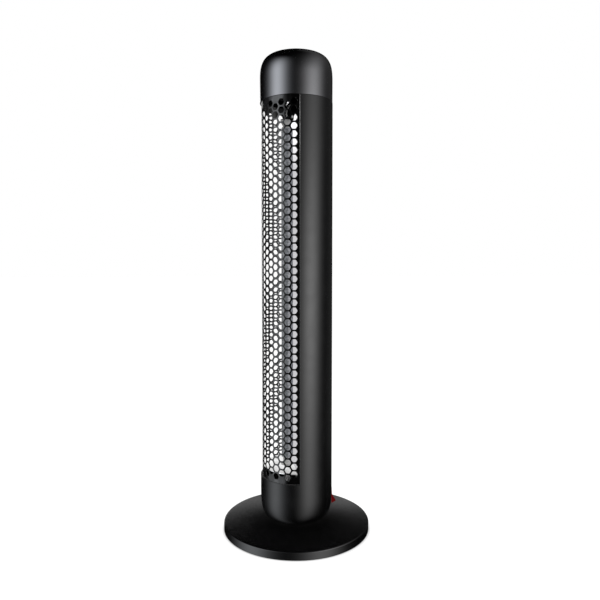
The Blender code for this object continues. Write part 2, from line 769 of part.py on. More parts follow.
def column_screws():
    length = FOOT_FLOOR + COLUMN_BOSS_HEIGHT + BASE_WALL
    for n, place in enumerate(COLUMN_SCREW_PLACES, 1):
        made = screw(
            f"column_screw_{n}", COLUMN_SHANK, COLUMN_HEAD, COLUMN_HEAD_HEIGHT, length, zinc_steel
        )
        made.location = (*place, SEAT_UNDERSIDE - GAP)


# Cap.


def cap_screw_places():
    return ring_places(CAP_SCREWS, CAP_INNER - CAP_BOSS_INSET, radians(90))


def top_cap():
    outer = rounded_corner(CAP_RADIUS, DOME_RUN, TOTAL_HEIGHT, -DOME_DROP, DOME_POWER, DOME_POINTS)
    inner_top = TOTAL_HEIGHT - CAP_CROWN_WALL
    inner = rounded_corner(CAP_INNER, DOME_RUN, inner_top, -DOME_DROP, DOME_POWER, DOME_POINTS)
    profile = [
        (0.0, TOTAL_HEIGHT),
        *outer,
        (CAP_RADIUS, CAP_RIM),
        (CAP_INNER, CAP_RIM),
        *reversed(inner),
        (0.0, inner_top),
    ]
    cap = lathe("top_cap", profile, gloss_black)
    bottom = CAP_PLATE_TOP + GAP
    top = inner_top - DOME_DROP / 4 + UNION_SINK
    for n, place in enumerate(cap_screw_places()):
        reach = hypot(*place) + CAP_BOSS_RADIUS - (CAP_INNER - DOME_RUN)
        drop = DOME_DROP * (1 - (1 - max(reach, 0.0) ** DOME_POWER / DOME_RUN**DOME_POWER) ** (1 / DOME_POWER))
        top = inner_top - drop + UNION_SINK
        join(cap, rod(f"cap_boss_{n}", CAP_BOSS_RADIUS, bottom, top, place))
        pilot_top = bottom + SMALL_LENGTH + GAP
        cut(cap, rod(f"cap_pilot_{n}", SMALL_SHANK + GAP, bottom - CUT_OVERRUN, pilot_top, place))
    return cap


def cap_plate():
    """The black disc that closes the column's top and carries the cap."""
    radius = CAP_INNER - GAP
    plate = rod(
        "cap_plate", radius, CAP_PLATE_BOTTOM, CAP_PLATE_TOP, surface=black_steel, segments=LARGE_ROUND
    )
    low = CAP_PLATE_BOTTOM - CUT_OVERRUN
    high = CAP_PLATE_TOP + CUT_OVERRUN
    for n, place in enumerate(cap_screw_places() + cap_plate_screw_places()):
        cut(plate, rod(f"cap_plate_hole_{n}", SMALL_SHANK + GAP, low, high, place))
    return plate


def cap_screws():
    length = CAP_PLATE_SHEET + SMALL_LENGTH
    for n, place in enumerate(cap_screw_places(), 1):
        made = screw(f"cap_screw_{n}", SMALL_SHANK, SMALL_HEAD, SMALL_HEAD_HEIGHT, length, zinc_steel)
        made.location = (*place, CAP_PLATE_BOTTOM - GAP)
    for n, place in enumerate(cap_plate_screw_places(), 1):
        made = screw(f"plate_screw_{n}", SMALL_SHANK, SMALL_HEAD, SMALL_HEAD_HEIGHT, length, zinc_steel)
        made.rotation_euler = (radians(180), 0, 0)
        made.location = (*place, CAP_PLATE_TOP + GAP)


# Guard.


def guard_fold_angles():
    """Angles of the sheet's folds: halfway between columns of openings, and its two edges."""
    count = GUARD_SIDE_COLUMNS
    folds = [GUARD_COLUMN_STEP * (n + 0.5) for n in range(-count - 1, count + 1)]
    return [-WINDOW_HALF_ANGLE, *folds, WINDOW_HALF_ANGLE]


def guard_openings():
    """A mesh of six-sided prisms, one for each opening."""
    half_width = GUARD_COLUMN_STEP * GUARD_INNER / 2 * GUARD_FACET_FILL_SHARE
    half_height = (GUARD_PITCH - GUARD_BAR) / 2
    low = WINDOW_BOTTOM + GUARD_BAR - GUARD_TUCK / 2
    high = CAP_RIM + GUARD_TUCK / 2
    rows = floor((high - low) / GUARD_PITCH)
    start = (low + high - (rows - 1) * GUARD_PITCH) / 2

    def build(bm):
        for column in range(-GUARD_SIDE_COLUMNS, GUARD_SIDE_COLUMNS + 1):
            angle = column * GUARD_COLUMN_STEP
            odd = column % 2
            for row in range(rows - odd):
                height = start + (row + odd / 2) * GUARD_PITCH
                spin = Matrix.Rotation(angle, 4, "Z") @ Matrix.Rotation(radians(90), 4, "X")
                place = Matrix.Translation(GUARD_INNER * guard_direction(angle) + Vector((0, 0, height)))
                shape = Matrix.Diagonal((half_width, half_height / cos(radians(30)), 1.0, 1.0))
                bmesh.ops.create_cone(
                    bm,
                    cap_ends=True,
                    segments=6,
                    radius1=1.0,
                    radius2=1.0,
                    depth=GUARD_SHEET * 6,
                    matrix=place @ spin @ shape @ Matrix.Rotation(radians(90), 4, "Z"),
                )

    return add_object("guard_openings", mesh_from(build), None)


def guard():
    angles = guard_fold_angles()
    outer = [tuple(GUARD_OUTER * guard_direction(angle).xy) for angle in angles]
    inner = [tuple(GUARD_INNER * guard_direction(angle).xy) for angle in angles]
    outline = outer + inner[::-1]
    sheet = prism("guard", outline, WINDOW_BOTTOM - GUARD_TUCK, CAP_RIM + GUARD_TUCK, black_steel)
    return cut(sheet, guard_openings())


# Reflector and lamp supports.


def reflector():
    half = REFLECTOR_HALF_WIDTH
    y = (REFLECTOR_FRONT, REFLECTOR_BACK)
    sheet = block("reflector", (-half, half), y, (REFLECTOR_BOTTOM, REFLECTOR_TOP), polished_aluminium)
    low = REFLECTOR_FRONT - CUT_OVERRUN
    high = REFLECTOR_BACK + CUT_OVERRUN
    for n, (x, z) in enumerate(reflector_screw_places() + bracket_screw_places()):
        cut(sheet, rod_along_y(f"reflector_hole_{n}", SMALL_SHANK + GAP, low, high, x, z))
    return cut(sheet, rod_along_y("lead_hole", WIRE_HOLE, low, high, 0.0, lead_hole_height()))


def reflector_screws():
    for n, (x, z) in enumerate(reflector_screw_places(), 1):
        length = SHEET + RAIL_DEPTH
        made = screw(
            f"reflector_screw_{n}", SMALL_SHANK, SMALL_HEAD, SMALL_HEAD_HEIGHT, length, zinc_steel
        )
        made.rotation_euler = (radians(-90), 0, 0)
        made.location = (x, REFLECTOR_FRONT - GAP, z)


def lead_hole_height():
    return CAP_PLATE_BOTTOM - WIRE_HOLE_BELOW_PLATE


def bracket_screw_places():
    """(x, z) of the screws that hold the upper bracket and the lamp floor to the reflector."""
    side = CERAMIC_FLANGE_RADIUS - SMALL_HEAD - GAP
    upper = BRACKET_BOTTOM + BRACKET_SHEET + SMALL_HEAD + GAP + UNION_SINK
    lower = LAMP_FLOOR_TOP - SHEET - FLOOR_FLANGE / 2
    wide = REFLECTOR_HALF_WIDTH / 2
    return [(-side, upper), (side, upper), (-wide, lower), (wide, lower)]


def bracket_screws():
    thicknesses = [BRACKET_SHEET, BRACKET_SHEET, SHEET, SHEET]
    names = ["bracket_screw_1", "bracket_screw_2", "floor_screw_1", "floor_screw_2"]
    for name, (x, z), thickness in zip(names, bracket_screw_places(), thicknesses):
        front = REFLECTOR_FRONT - GAP - thickness
        length = thickness + SHEET + RAIL_DEPTH
        made = screw(name, SMALL_SHANK, SMALL_HEAD, SMALL_HEAD_HEIGHT, length, zinc_steel)
        made.rotation_euler = (radians(-90), 0, 0)
        made.location = (x, front - GAP, z)


def upper_bracket():
    """An angle of sheet steel on the reflector, whose round-nosed ledge holds the lamp's upper end."""
    half = CERAMIC_FLANGE_RADIUS
    back = REFLECTOR_FRONT - GAP
    ledge_top = BRACKET_BOTTOM + BRACKET_SHEET
    nose = [(half * cos(turn), LAMP_Y - half * sin(turn)) for turn in [pi * n / 12 for n in range(13)]]
    outline = [(half, back), *nose, (-half, back)]
    ledge = prism("upper_bracket", outline, BRACKET_BOTTOM, ledge_top, black_steel)
    upright_y = (back - BRACKET_SHEET, back)
    upright_z = (BRACKET_BOTTOM, BRACKET_BOTTOM + BRACKET_RISE)
    join(ledge, block("bracket_upright", (-half, half), upright_y, upright_z))
    low = BRACKET_BOTTOM - CUT_OVERRUN
    high = ledge_top + CUT_OVERRUN
    cut(ledge, rod("bracket_pin_hole", PIN_RADIUS + GAP, low, high, (0.0, LAMP_Y)))
    for n, (x, z) in enumerate(bracket_screw_places()[:2]):
        front = back - BRACKET_SHEET - CUT_OVERRUN
        cut(ledge, rod_along_y(f"bracket_hole_{n}", SMALL_SHANK + GAP, front, back + CUT_OVERRUN, x, z))
    hole_low = back - BRACKET_SHEET - CUT_OVERRUN
    hole_high = back + CUT_OVERRUN
    wire_hole = rod_along_y("bracket_wire_hole", WIRE_HOLE, hole_low, hole_high, 0.0, lead_hole_height())
    return cut(ledge, wire_hole)


def lamp_floor():
    """The bright floor of the heating chamber, with a flange down the reflector."""
    back = REFLECTOR_FRONT - GAP
    radius = GUARD_CLEAR_RADIUS
    half_angle = acos(-back / radius)
    outline = arc_outline(radius, half_angle, MEDIUM_ROUND)
    low = LAMP_FLOOR_TOP - SHEET
    sheet = prism("lamp_floor", outline, low, LAMP_FLOOR_TOP, polished_aluminium)
    half = REFLECTOR_HALF_WIDTH - REFLECTOR_SIDE_GAP
    flange_z = (low - FLOOR_FLANGE, LAMP_FLOOR_TOP)
    join(sheet, block("floor_flange", (-half, half), (back - SHEET, back), flange_z))
    hole = PIN_RADIUS + GAP
    cut(sheet, rod("floor_pin_hole", hole, low - CUT_OVERRUN, LAMP_FLOOR_TOP + CUT_OVERRUN, (0.0, LAMP_Y)))
    for n, (x, z) in enumerate(bracket_screw_places()[2:]):
        front = back - SHEET - CUT_OVERRUN
        cut(sheet, rod_along_y(f"floor_hole_{n}", SMALL_SHANK + GAP, front, back + CUT_OVERRUN, x, z))
    return sheet


# Lamp.


def quartz_tube():
    inner = LAMP_RADIUS - LAMP_WALL
    profile = [
        (inner, LAMP_TOP),
        (LAMP_RADIUS, LAMP_TOP),
        (LAMP_RADIUS, LAMP_BOTTOM),
        (inner, LAMP_BOTTOM),
    ]
    tube = lathe("quartz_tube", profile, milky_quartz, 24)
    tube.location = (0, LAMP_Y, 0)
    return tube


def lamp_end(name, end, direction):
    """A ceramic end: a plug in the tube, a neck, a flange flattened against the reflector, and a pin."""
    plug = LAMP_RADIUS - LAMP_WALL - GAP
    profile = [
        (0.0, -CERAMIC_PLUG),
        (plug, -CERAMIC_PLUG),
        (plug, GAP),
        (CERAMIC_NECK_RADIUS, GAP),
        (CERAMIC_NECK_RADIUS, CERAMIC_NECK),
        (CERAMIC_FLANGE_RADIUS, CERAMIC_NECK),
        (CERAMIC_FLANGE_RADIUS, FLANGE_REACH),
        (PIN_RADIUS, FLANGE_REACH),
        (PIN_RADIUS, FLANGE_REACH + PIN_LENGTH),
        (0.0, FLANGE_REACH + PIN_LENGTH),
    ]
    made = lathe(name, profile[::-1], ceramic, 24)
    made.location = (0, LAMP_Y, end)
    if direction < 0:
        made.rotation_euler = (radians(180), 0, 0)
    reach = FLANGE_REACH + PIN_LENGTH
    flat_y = (REFLECTOR_FRONT - GAP, REFLECTOR_FRONT + CERAMIC_FLANGE_RADIUS)
    half = CERAMIC_FLANGE_RADIUS + CUT_OVERRUN
    return cut(made, block(name + "_flat", (-half, half), flat_y, (end - reach, end + reach)))


def heating_coil():
    """The winding inside the milky tube, as a plain rod of its outer size."""
    bottom = LAMP_BOTTOM + CERAMIC_PLUG + GAP
    top = LAMP_TOP - CERAMIC_PLUG - GAP
    return rod("heating_coil", COIL_RADIUS, bottom, top, (0.0, LAMP_Y), coil_metal)


def thermal_cutout():
    z = CAP_RIM - CUTOUT_BELOW_RIM
    front = REFLECTOR_BACK + GAP
    body = rod_along_y(
        "thermal_cutout", CUTOUT_RADIUS, front, front + CUTOUT_DEPTH, 0.0, z, ceramic, MEDIUM_ROUND
    )
    ears_x = (-CUTOUT_EAR_HALF_WIDTH, CUTOUT_EAR_HALF_WIDTH)
    ears_z = (z - CUTOUT_EAR_HALF_HEIGHT, z + CUTOUT_EAR_HALF_HEIGHT)
    return join(body, block("cutout_ears", ears_x, (front, front + CUTOUT_EAR_SHEET), ears_z))


# Wiring in the foot.


def block_top():
    return FLOOR_INSIDE + GAP + BLOCK_HEIGHT


def way(n):
    """Where a wire meets the terminal block: way n, counted from the -X side."""
    x = (n - 1.5) * BLOCK_WAY_SPACING
    return Vector((x, -BLOCK_FROM_AXIS - BLOCK_DEPTH / 2, block_top() + GAP))


def terminal_block():
    y = (-BLOCK_FROM_AXIS - BLOCK_DEPTH, -BLOCK_FROM_AXIS)
    z = (FLOOR_INSIDE + GAP, block_top())
    x = (-BLOCK_HALF_WIDTH, BLOCK_HALF_WIDTH)
    return block("terminal_block", x, y, z, ceramic, BLOCK_BEVEL)


def wires():
    up = Vector((0, 0, WIRE_BEND))
    forward = Vector((0, -WIRE_BEND, 0))
    pin_top = Vector((0, LAMP_Y, LAMP_TOP + FLANGE_REACH + PIN_LENGTH + GAP))
    pin_bottom = Vector((0, LAMP_Y, LAMP_BOTTOM - FLANGE_REACH - PIN_LENGTH - GAP))
    hole = Vector((0, (REFLECTOR_FRONT + REFLECTOR_BACK) / 2, lead_hole_height()))
    cutout_back = REFLECTOR_BACK + GAP + CUTOUT_DEPTH + GAP
    cutout_z = CAP_RIM - CUTOUT_BELOW_RIM
    tap = CUTOUT_RADIUS / 2
    behind = Vector((0, cutout_back + WIRE_RUN_DEPTH, 0))
    upper_tap = Vector((0, cutout_back, cutout_z + tap))
    lower_tap = Vector((0, cutout_back, cutout_z - tap))
    wire(
        "upper_lamp_lead",
        [
            pin_top,
            pin_top + (hole.z - pin_top.z) / 2 * Vector((0, 0, 1)),
            hole + forward / 3,
            hole,
            hole - forward / 2,
            behind + Vector((0, 0, hole.z - WIRE_BEND)),
            behind + Vector((0, 0, cutout_z + tap + WIRE_BEND)),
            upper_tap - forward / 3,
            upper_tap,
        ],
        wire_white,
    )
    drop_way = way(1)
    turn_height = REFLECTOR_BOTTOM - WIRE_BEND / 2
    run_x = Vector((drop_way.x, 0, 0))
    wire(
        "cutout_lead",
        [
            lower_tap,
            lower_tap - forward / 3,
            behind + run_x / 2 + Vector((0, 0, cutout_z - tap - WIRE_BEND)),
            behind + run_x + Vector((0, 0, WINDOW_BOTTOM)),
            run_x + Vector((0, 0, turn_height)),
            drop_way + up / 2,
            drop_way,
        ],
        wire_white,
    )
    lamp_way = way(2)
    wire(
        "lower_lamp_lead",
        [
            pin_bottom,
            pin_bottom - up,
            (pin_bottom + lamp_way) / 2,
            lamp_way + up,
            lamp_way,
        ],
        wire_white,
    )
    for n, (number, side) in enumerate(((0, -1), (3, 1)), 1):
        tab = Vector((side * TAB_SPACING / 2, SWITCH_BACK - TAB_LENGTH - GAP, SWITCH_HEIGHT))
        end = way(number)
        middle = (tab + end) / 2 + Vector((side * WIRE_BEND / 2, 0, WIRE_BEND / 2))
        corners = [tab, tab + forward / 2, middle, end + up / 2, end]
        wire(f"switch_lead_{n}", corners, wire_black)


# Power switch.


def switch_body():
    flange_x = (-SWITCH_FLANGE_HALF_WIDTH, SWITCH_FLANGE_HALF_WIDTH)
    flange_z = (SWITCH_HEIGHT - SWITCH_FLANGE_HALF_HEIGHT, SWITCH_HEIGHT + SWITCH_FLANGE_HALF_HEIGHT)
    flange_y = (SWITCH_FACE, SWITCH_FACE + SWITCH_FLANGE)
    body = block("switch_body", flange_x, flange_y, flange_z, gloss_black)
    half_x = SWITCH_BODY_HALF_WIDTH
    half_z = SWITCH_BODY_HALF_HEIGHT
    barrel_z = (SWITCH_HEIGHT - half_z, SWITCH_HEIGHT + half_z)
    barrel_y = (SWITCH_BACK, SWITCH_FACE + UNION_SINK)
    join(body, block("switch_barrel", (-half_x, half_x), barrel_y, barrel_z))
    tab_y = (SWITCH_BACK - TAB_LENGTH, SWITCH_BACK + UNION_SINK)
    tab_z = (SWITCH_HEIGHT - TAB_HALF_HEIGHT, SWITCH_HEIGHT + TAB_HALF_HEIGHT)
    for side, name in ((-1, "left"), (1, "right")):
        middle = side * TAB_SPACING / 2
        tab_x = (middle - TAB_HALF_WIDTH, middle + TAB_HALF_WIDTH)
        join(body, block("switch_tab_" + name, tab_x, tab_y, tab_z))
    cavity_x = SWITCH_CAVITY_HALF_WIDTH
    cavity_z = (SWITCH_HEIGHT - SWITCH_CAVITY_HALF_HEIGHT, SWITCH_HEIGHT + SWITCH_CAVITY_HALF_HEIGHT)
    cavity_y = (PIVOT_Y - SWITCH_CAVITY_DEPTH, SWITCH_FACE + SWITCH_FLANGE + CUT_OVERRUN)
    return cut(body, block("rocker_cavity", (-cavity_x, cavity_x), cavity_y, cavity_z))


def rocker():
    """The red rocker, drawn with its lower end out. Its origin is on its pivot."""
    outline = [
        (ROCKER_REACH, ROCKER_END_HALF),
        (ROCKER_SKIRT_REACH, ROCKER_SKIRT_HALF),
        (-ROCKER_BACK, ROCKER_SKIRT_HALF),
        (-ROCKER_BACK, -ROCKER_SKIRT_HALF),
        (ROCKER_SKIRT_REACH, -ROCKER_SKIRT_HALF),
        (ROCKER_REACH, -ROCKER_END_HALF),
        (ROCKER_VALLEY_REACH, 0.0),
    ]
    half = ROCKER_HALF_WIDTH

    def build(bm):
        corners = [bm.verts.new((-half, y, z)) for y, z in outline]
        side = bm.faces.new(corners)
        pushed = bmesh.ops.extrude_face_region(bm, geom=[side])["geom"]
        far = [item for item in pushed if isinstance(item, bmesh.types.BMVert)]
        bmesh.ops.translate(bm, verts=far, vec=(2 * half, 0, 0))

    body = add_object("power_rocker", mesh_from(build), red_plastic)
    rounding = body.modifiers.new("rounded_edges", "BEVEL")
    rounding.width = ROCKER_BEVEL
    rounding.segments = 2
    rounding.limit_method = "ANGLE"
    rounding.angle_limit = radians(20)
    body.rotation_euler = (ROCKER_TILT, 0, 0)
    body.location = (0, PIVOT_Y, SWITCH_HEIGHT)
    return body


def finish_meshes():
    """Applies the modifiers, shades round pieces smooth and clears the tools away."""
    bpy.context.view_layer.update()
    graph = bpy.context.evaluated_depsgraph_get()
    results = [(obj, bpy.data.meshes.new_from_object(obj.evaluated_get(graph))) for obj in parts.objects]
    for obj, mesh in results:
        obj.modifiers.clear()
        obj.data = mesh
        mesh.name = obj.name
        mesh.shade_smooth()
        mesh.set_sharp_from_angle(angle=SHADE_ANGLE)
    for tool in list(cutters.objects):
        bpy.data.objects.remove(tool, do_unlink=True)


clear_scene()
parts = new_collection(COLLECTION_NAME)
cutters = new_collection("cutters")

black_plastic = material("satin_black_plastic", (0.018, 0.018, 0.020), 0.38)
gloss_black = material("gloss_black_plastic", (0.012, 0.012, 0.013), 0.22)
dark_plastic = material("dark_grey_plastic", (0.05, 0.05, 0.05), 0.5)
black_steel = material("black_coated_steel", (0.012, 0.012, 0.012), 0.4)
red_plastic = material("red_plastic", (0.42, 0.012, 0.015), 0.3)
rubber = material("black_rubber", (0.02, 0.02, 0.02), 0.85)
cast_iron = material("cast_iron", (0.12, 0.12, 0.12), 0.7, 0.8)
zinc_steel = material("zinc_plated_steel", (0.55, 0.56, 0.58), 0.35, 1.0)
polished_aluminium = material("polished_aluminium", (0.91, 0.92, 0.92), 0.06, 1.0)
ceramic = material("white_ceramic", (0.82, 0.80, 0.76), 0.5)
milky_quartz = material("milky_quartz", (0.80, 0.80, 0.80), 0.25)
coil_metal = material("resistance_wire", (0.32, 0.30, 0.28), 0.45, 1.0)
wire_white = material("white_wire_sleeve", (0.75, 0.74, 0.70), 0.7)
wire_black = material("black_wire_sleeve", (0.02, 0.02, 0.02), 0.5)

base_cover()
cord_bush()
base_weight()
base_plate()
base_screws()
foot_pads()
tip_over_switch()
tip_over_plunger()
column_housing()
column_screws()
top_cap()
cap_plate()
cap_screws()
guard()
reflector()
reflector_screws()
upper_bracket()
lamp_floor()
bracket_screws()
quartz_tube()
lamp_end("upper_lamp_end", LAMP_TOP, 1)
lamp_end("lower_lamp_end", LAMP_BOTTOM, -1)
heating_coil()
thermal_cutout()
terminal_block()
wires()
switch_body()
rocker()
finish_meshes()
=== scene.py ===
import json
from math import cos, pi, radians, sin, sqrt

import bmesh
import bpy
from mathutils import Matrix, Vector
from mathutils.geometry import delaunay_2d_cdt

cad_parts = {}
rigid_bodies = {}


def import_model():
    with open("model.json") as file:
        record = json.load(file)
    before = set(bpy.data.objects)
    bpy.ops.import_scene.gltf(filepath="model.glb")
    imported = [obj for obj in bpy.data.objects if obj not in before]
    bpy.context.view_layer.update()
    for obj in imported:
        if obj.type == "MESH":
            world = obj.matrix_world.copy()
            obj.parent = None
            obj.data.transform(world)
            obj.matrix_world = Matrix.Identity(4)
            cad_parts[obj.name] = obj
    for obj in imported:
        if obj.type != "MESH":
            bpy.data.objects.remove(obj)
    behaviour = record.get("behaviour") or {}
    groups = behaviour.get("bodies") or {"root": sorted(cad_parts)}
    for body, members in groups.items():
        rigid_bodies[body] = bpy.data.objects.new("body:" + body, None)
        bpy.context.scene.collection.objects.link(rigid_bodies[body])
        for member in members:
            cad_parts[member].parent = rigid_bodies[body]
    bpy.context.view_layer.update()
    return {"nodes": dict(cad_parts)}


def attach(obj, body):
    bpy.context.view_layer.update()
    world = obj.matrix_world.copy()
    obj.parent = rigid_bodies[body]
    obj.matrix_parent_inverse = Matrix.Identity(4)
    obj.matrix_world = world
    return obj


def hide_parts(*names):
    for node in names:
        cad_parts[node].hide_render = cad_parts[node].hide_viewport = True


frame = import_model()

bpy.context.scene.view_settings.view_transform = "Standard"
nodes = frame["nodes"]

# Sizes that agree with the CAD model, in metres.
GAP = 0.0003
COLUMN_RADIUS = 0.062
COLUMN_WALL = 0.0025
FOOT_BOTTOM = 0.0195
FOOT_RUN = 0.028
FOOT_RISE = 0.0525
FOOT_POWER = 3.2
FOOT_FLOOR = 0.003
WIRE_HOLE = 0.010
WINDOW_BOTTOM = 0.0954
WINDOW_HALF_ANGLE = radians(85)
CAP_RIM = 0.7316
HOUSING_TOP = CAP_RIM - GAP
SPIGOT_TOP = 0.7517
TOTAL_HEIGHT = 0.8090
CAP_RADIUS = 0.0617
CAP_WALL = 0.002
CAP_ROOF = 0.0025
DOME_RUN = 0.029
DOME_DROP = 0.0437
DOME_POWER = 3.0
GUARD_OUTER = 0.0592
GUARD_SHEET = 0.001
GUARD_BOTTOM = 0.0886
GUARD_TOP = 0.7384
BASE_RADIUS = 0.1264
BASE_WALL = 0.002
SEAT_RADIUS = 0.047
SEAT_TOP = 0.0192
RIM_TOP = 0.0141
RIM_ROUND = 0.002
BUSH_HEIGHT = 0.0078
LAMP_Y = -0.01597
LAMP_BOTTOM = 0.1251
LAMP_TOP = 0.6894
LAMP_RADIUS = 0.0098
LAMP_WALL = 0.0015
PIVOT = Vector((0, 0.0578, 0.0511))
ROCKER_TILT = radians(17)

# Inner boxes as (x, y, z) ranges, and upright sections as (radius, height) points. The half
# angles that the swept sections leave out or fill are in degrees from the window's middle.
SWITCH_CUT = ((-0.0091, 0.0091), (0.0435, 0.0645), (0.0335, 0.0687))
SPIGOT_SECTION = (
    (0.0594, 0.7313), (0.0594, SPIGOT_TOP), (0.0574, SPIGOT_TOP),
    (0.0574, 0.7225), (0.0590, 0.7205),
)
SPIGOT_HALF_GAP = 85.5
RAIL = ((0.0500, 0.0590), (-0.0046, -0.0018), (0.0550, 0.7277))
RAIL_HEAD = ((0.0500, 0.0583), (-0.0046, 0.0042), (0.7279, 0.7515))
FOOT_BOSS_CIRCLE = 0.026
FOOT_BOSS = ((0.0052, 0.0226), (0.0052, 0.0325), (0.0026, 0.0325), (0.0026, 0.0226))
CAP_BOSS_CIRCLE = 0.0437
CAP_BOSS = ((0.0042, 0.7538), (0.0042, 0.7945), (0.0017, 0.7945), (0.0017, 0.7538))
# Painted shade: dark sheets in front of the reflector's ends and dark linings inside the cap's rim
# and the foot, put where only shade should show.
UPPER_SHADE_SHEET = ((-0.0562, 0.0562), (-0.0068, -0.0064), (0.7085, 0.7440))
LOWER_SHADE_SHEET = ((-0.0562, 0.0562), (-0.0068, -0.0064), (0.0790, 0.1072))
CAP_SHADE_LINING = ((0.0595, 0.7322), (0.0595, 0.7600), (0.0591, 0.7600), (0.0591, 0.7322))
FOOT_SHADE_LINING = ((0.0593, 0.0600), (0.0593, 0.0882), (0.0589, 0.0882), (0.0589, 0.0600))
FOOT_SHADE_LINING_HALF_ANGLE = 80

# Sizes that only the scene has. The base's skirt hides the rubber feet, as in the photo.
RIM_BOTTOM = 0.0004
SKIRT_ROUND = 0.0005
BUSH_HOLE_RADIUS = 0.0047
BUSH_HOLE_DEPTH = 0.008
CAP_RIM_ROUND = 0.0005
CAP_STRAIGHT = 0.75
CROWN_STEP = 0.012
LAMP_EDGE = 0.0004

# How finely round things are divided, and the least angle of a sharp edge in degrees.
FINE_ROUND = 144
LAMP_ROUND = 64
BUSH_ROUND = 48
BOSS_ROUND = 32
SPIGOT_STEPS = 76
LINING_STEPS = 48
FOOT_POINTS = 26
DOME_POINTS = 34
CONE_RINGS = 10
ROCKER_STEPS = 12
SHARP_ANGLE = 35


# Node helpers.


class Nodes:
    """Short calls for building a node tree."""

    def __init__(self, tree, clear=True):
        self.tree = tree
        if clear:
            self.tree.nodes.clear()

    def add(self, kind, **settings):
        node = self.tree.nodes.new(kind)
        for key, value in settings.items():
            setattr(node, key, value)
        return node

    def link(self, source, target):
        self.tree.links.new(source, target)

    def feed(self, socket, value):
        """Links a socket's value in, or writes a plain one."""
        if isinstance(value, bpy.types.NodeSocket):
            self.link(value, socket)
        else:
            socket.default_value = value

    def math(self, operation, *values, clamp=False):
        node = self.add("ShaderNodeMath", operation=operation, use_clamp=clamp)
        for socket, value in zip(node.inputs, values):
            self.feed(socket, value)
        return node.outputs[0]

    def product(self, *values):
        """All the values multiplied."""
        result = values[0]
        for value in values[1:]:
            result = self.math("MULTIPLY", result, value)
        return result

    def ramp(self, value, low, high, low_out=0.0, high_out=1.0):
        """A smooth step from low_out where value is low to high_out where it is high."""
        node = self.add("ShaderNodeMapRange", interpolation_type="SMOOTHSTEP")
        self.feed(node.inputs["Value"], value)
        node.inputs["From Min"].default_value = low
        node.inputs["From Max"].default_value = high
        node.inputs["To Min"].default_value = low_out
        node.inputs["To Max"].default_value = high_out
        return node.outputs["Result"]

    def noise(self, vector, scale, detail=2.0, rough=0.5):
        node = self.add("ShaderNodeTexNoise")
        self.link(vector, node.inputs["Vector"])
        node.inputs["Scale"].default_value = scale
        node.inputs["Detail"].default_value = detail
        node.inputs["Roughness"].default_value = rough
        return node.outputs["Fac"]

    def stretched(self, vector, scale):
        node = self.add("ShaderNodeMapping")
        self.link(vector, node.inputs["Vector"])
        node.inputs["Scale"].default_value = scale
        return node.outputs["Vector"]


# How every finish varies: slow patches of colour, uneven gloss and scattering under the surface.
PATCH_SCALE = 28.0
PATCH_EDGES = (0.35, 0.65)
GLOSS_EDGES = (0.3, 0.7)
GRAIN_TO_GLOSS = 40
COAT_ROUGHNESS = 0.1
SCATTER_DEPTH = (0.004, 0.004, 0.004)


def finish_material(
    name,
    colour,
    roughness,
    second=None,
    metallic=0.0,
    grain=2200.0,
    grain_depth=0.000002,
    spread=0.04,
    stretch=(1, 1, 1),
    coat=0.0,
    specular=0.5,
    subsurface=0.0,
):
    """A moulded, painted or metal surface with a grain, slow colour change and uneven gloss."""
    second = second or tuple(part * 1.25 + 0.0005 for part in colour)
    made = bpy.data.materials.new(name)
    made.use_nodes = True
    build = Nodes(made.node_tree)
    out = build.add("ShaderNodeOutputMaterial")
    shader = build.add("ShaderNodeBsdfPrincipled")
    build.link(shader.outputs[0], out.inputs["Surface"])
    place = build.add("ShaderNodeTexCoord").outputs["Object"]
    along = build.stretched(place, stretch)
    patches = build.ramp(build.noise(along, PATCH_SCALE, 3.0), *PATCH_EDGES)
    mix = build.add("ShaderNodeMix", data_type="RGBA")
    build.link(patches, mix.inputs["Factor"])
    mix.inputs["A"].default_value = (*colour, 1)
    mix.inputs["B"].default_value = (*second, 1)
    build.link(mix.outputs["Result"], shader.inputs["Base Color"])
    uneven = build.noise(along, grain / GRAIN_TO_GLOSS, 3.0)
    gloss = build.ramp(uneven, *GLOSS_EDGES, roughness - spread, roughness + spread)
    build.link(gloss, shader.inputs["Roughness"])
    bump = build.add("ShaderNodeBump")
    bump.inputs["Strength"].default_value = 1.0
    bump.inputs["Distance"].default_value = 1.0
    fine = build.noise(along, grain, 2.0, 0.6)
    build.link(build.product(fine, grain_depth), bump.inputs["Height"])
    build.link(bump.outputs[0], shader.inputs["Normal"])
    shader.inputs["Metallic"].default_value = metallic
    shader.inputs["Specular IOR Level"].default_value = specular
    shader.inputs["Coat Weight"].default_value = coat
    shader.inputs["Coat Roughness"].default_value = COAT_ROUGHNESS
    shader.inputs["Subsurface Weight"].default_value = subsurface
    shader.inputs["Subsurface Radius"].default_value = SCATTER_DEPTH
    return made


def paint_reflection_shade(material, weights, near, far, low, high):
    """Painted shade: weaker reflections close to the column and its jambs, standing in for their
    dark images that would be mirrored there.

    The weights pick the directions in which the distance from the column's axis is measured.
    """
    build = Nodes(material.node_tree, clear=False)
    flat = build.add("ShaderNodeVectorMath", operation="MULTIPLY")
    build.link(build.add("ShaderNodeTexCoord").outputs["Object"], flat.inputs[0])
    flat.inputs[1].default_value = weights
    length = build.add("ShaderNodeVectorMath", operation="LENGTH")
    build.link(flat.outputs["Vector"], length.inputs[0])
    shader = next(node for node in build.tree.nodes if node.type == "BSDF_PRINCIPLED")
    level = build.ramp(length.outputs["Value"], near, far, low, high)
    build.link(level, shader.inputs["Specular IOR Level"])


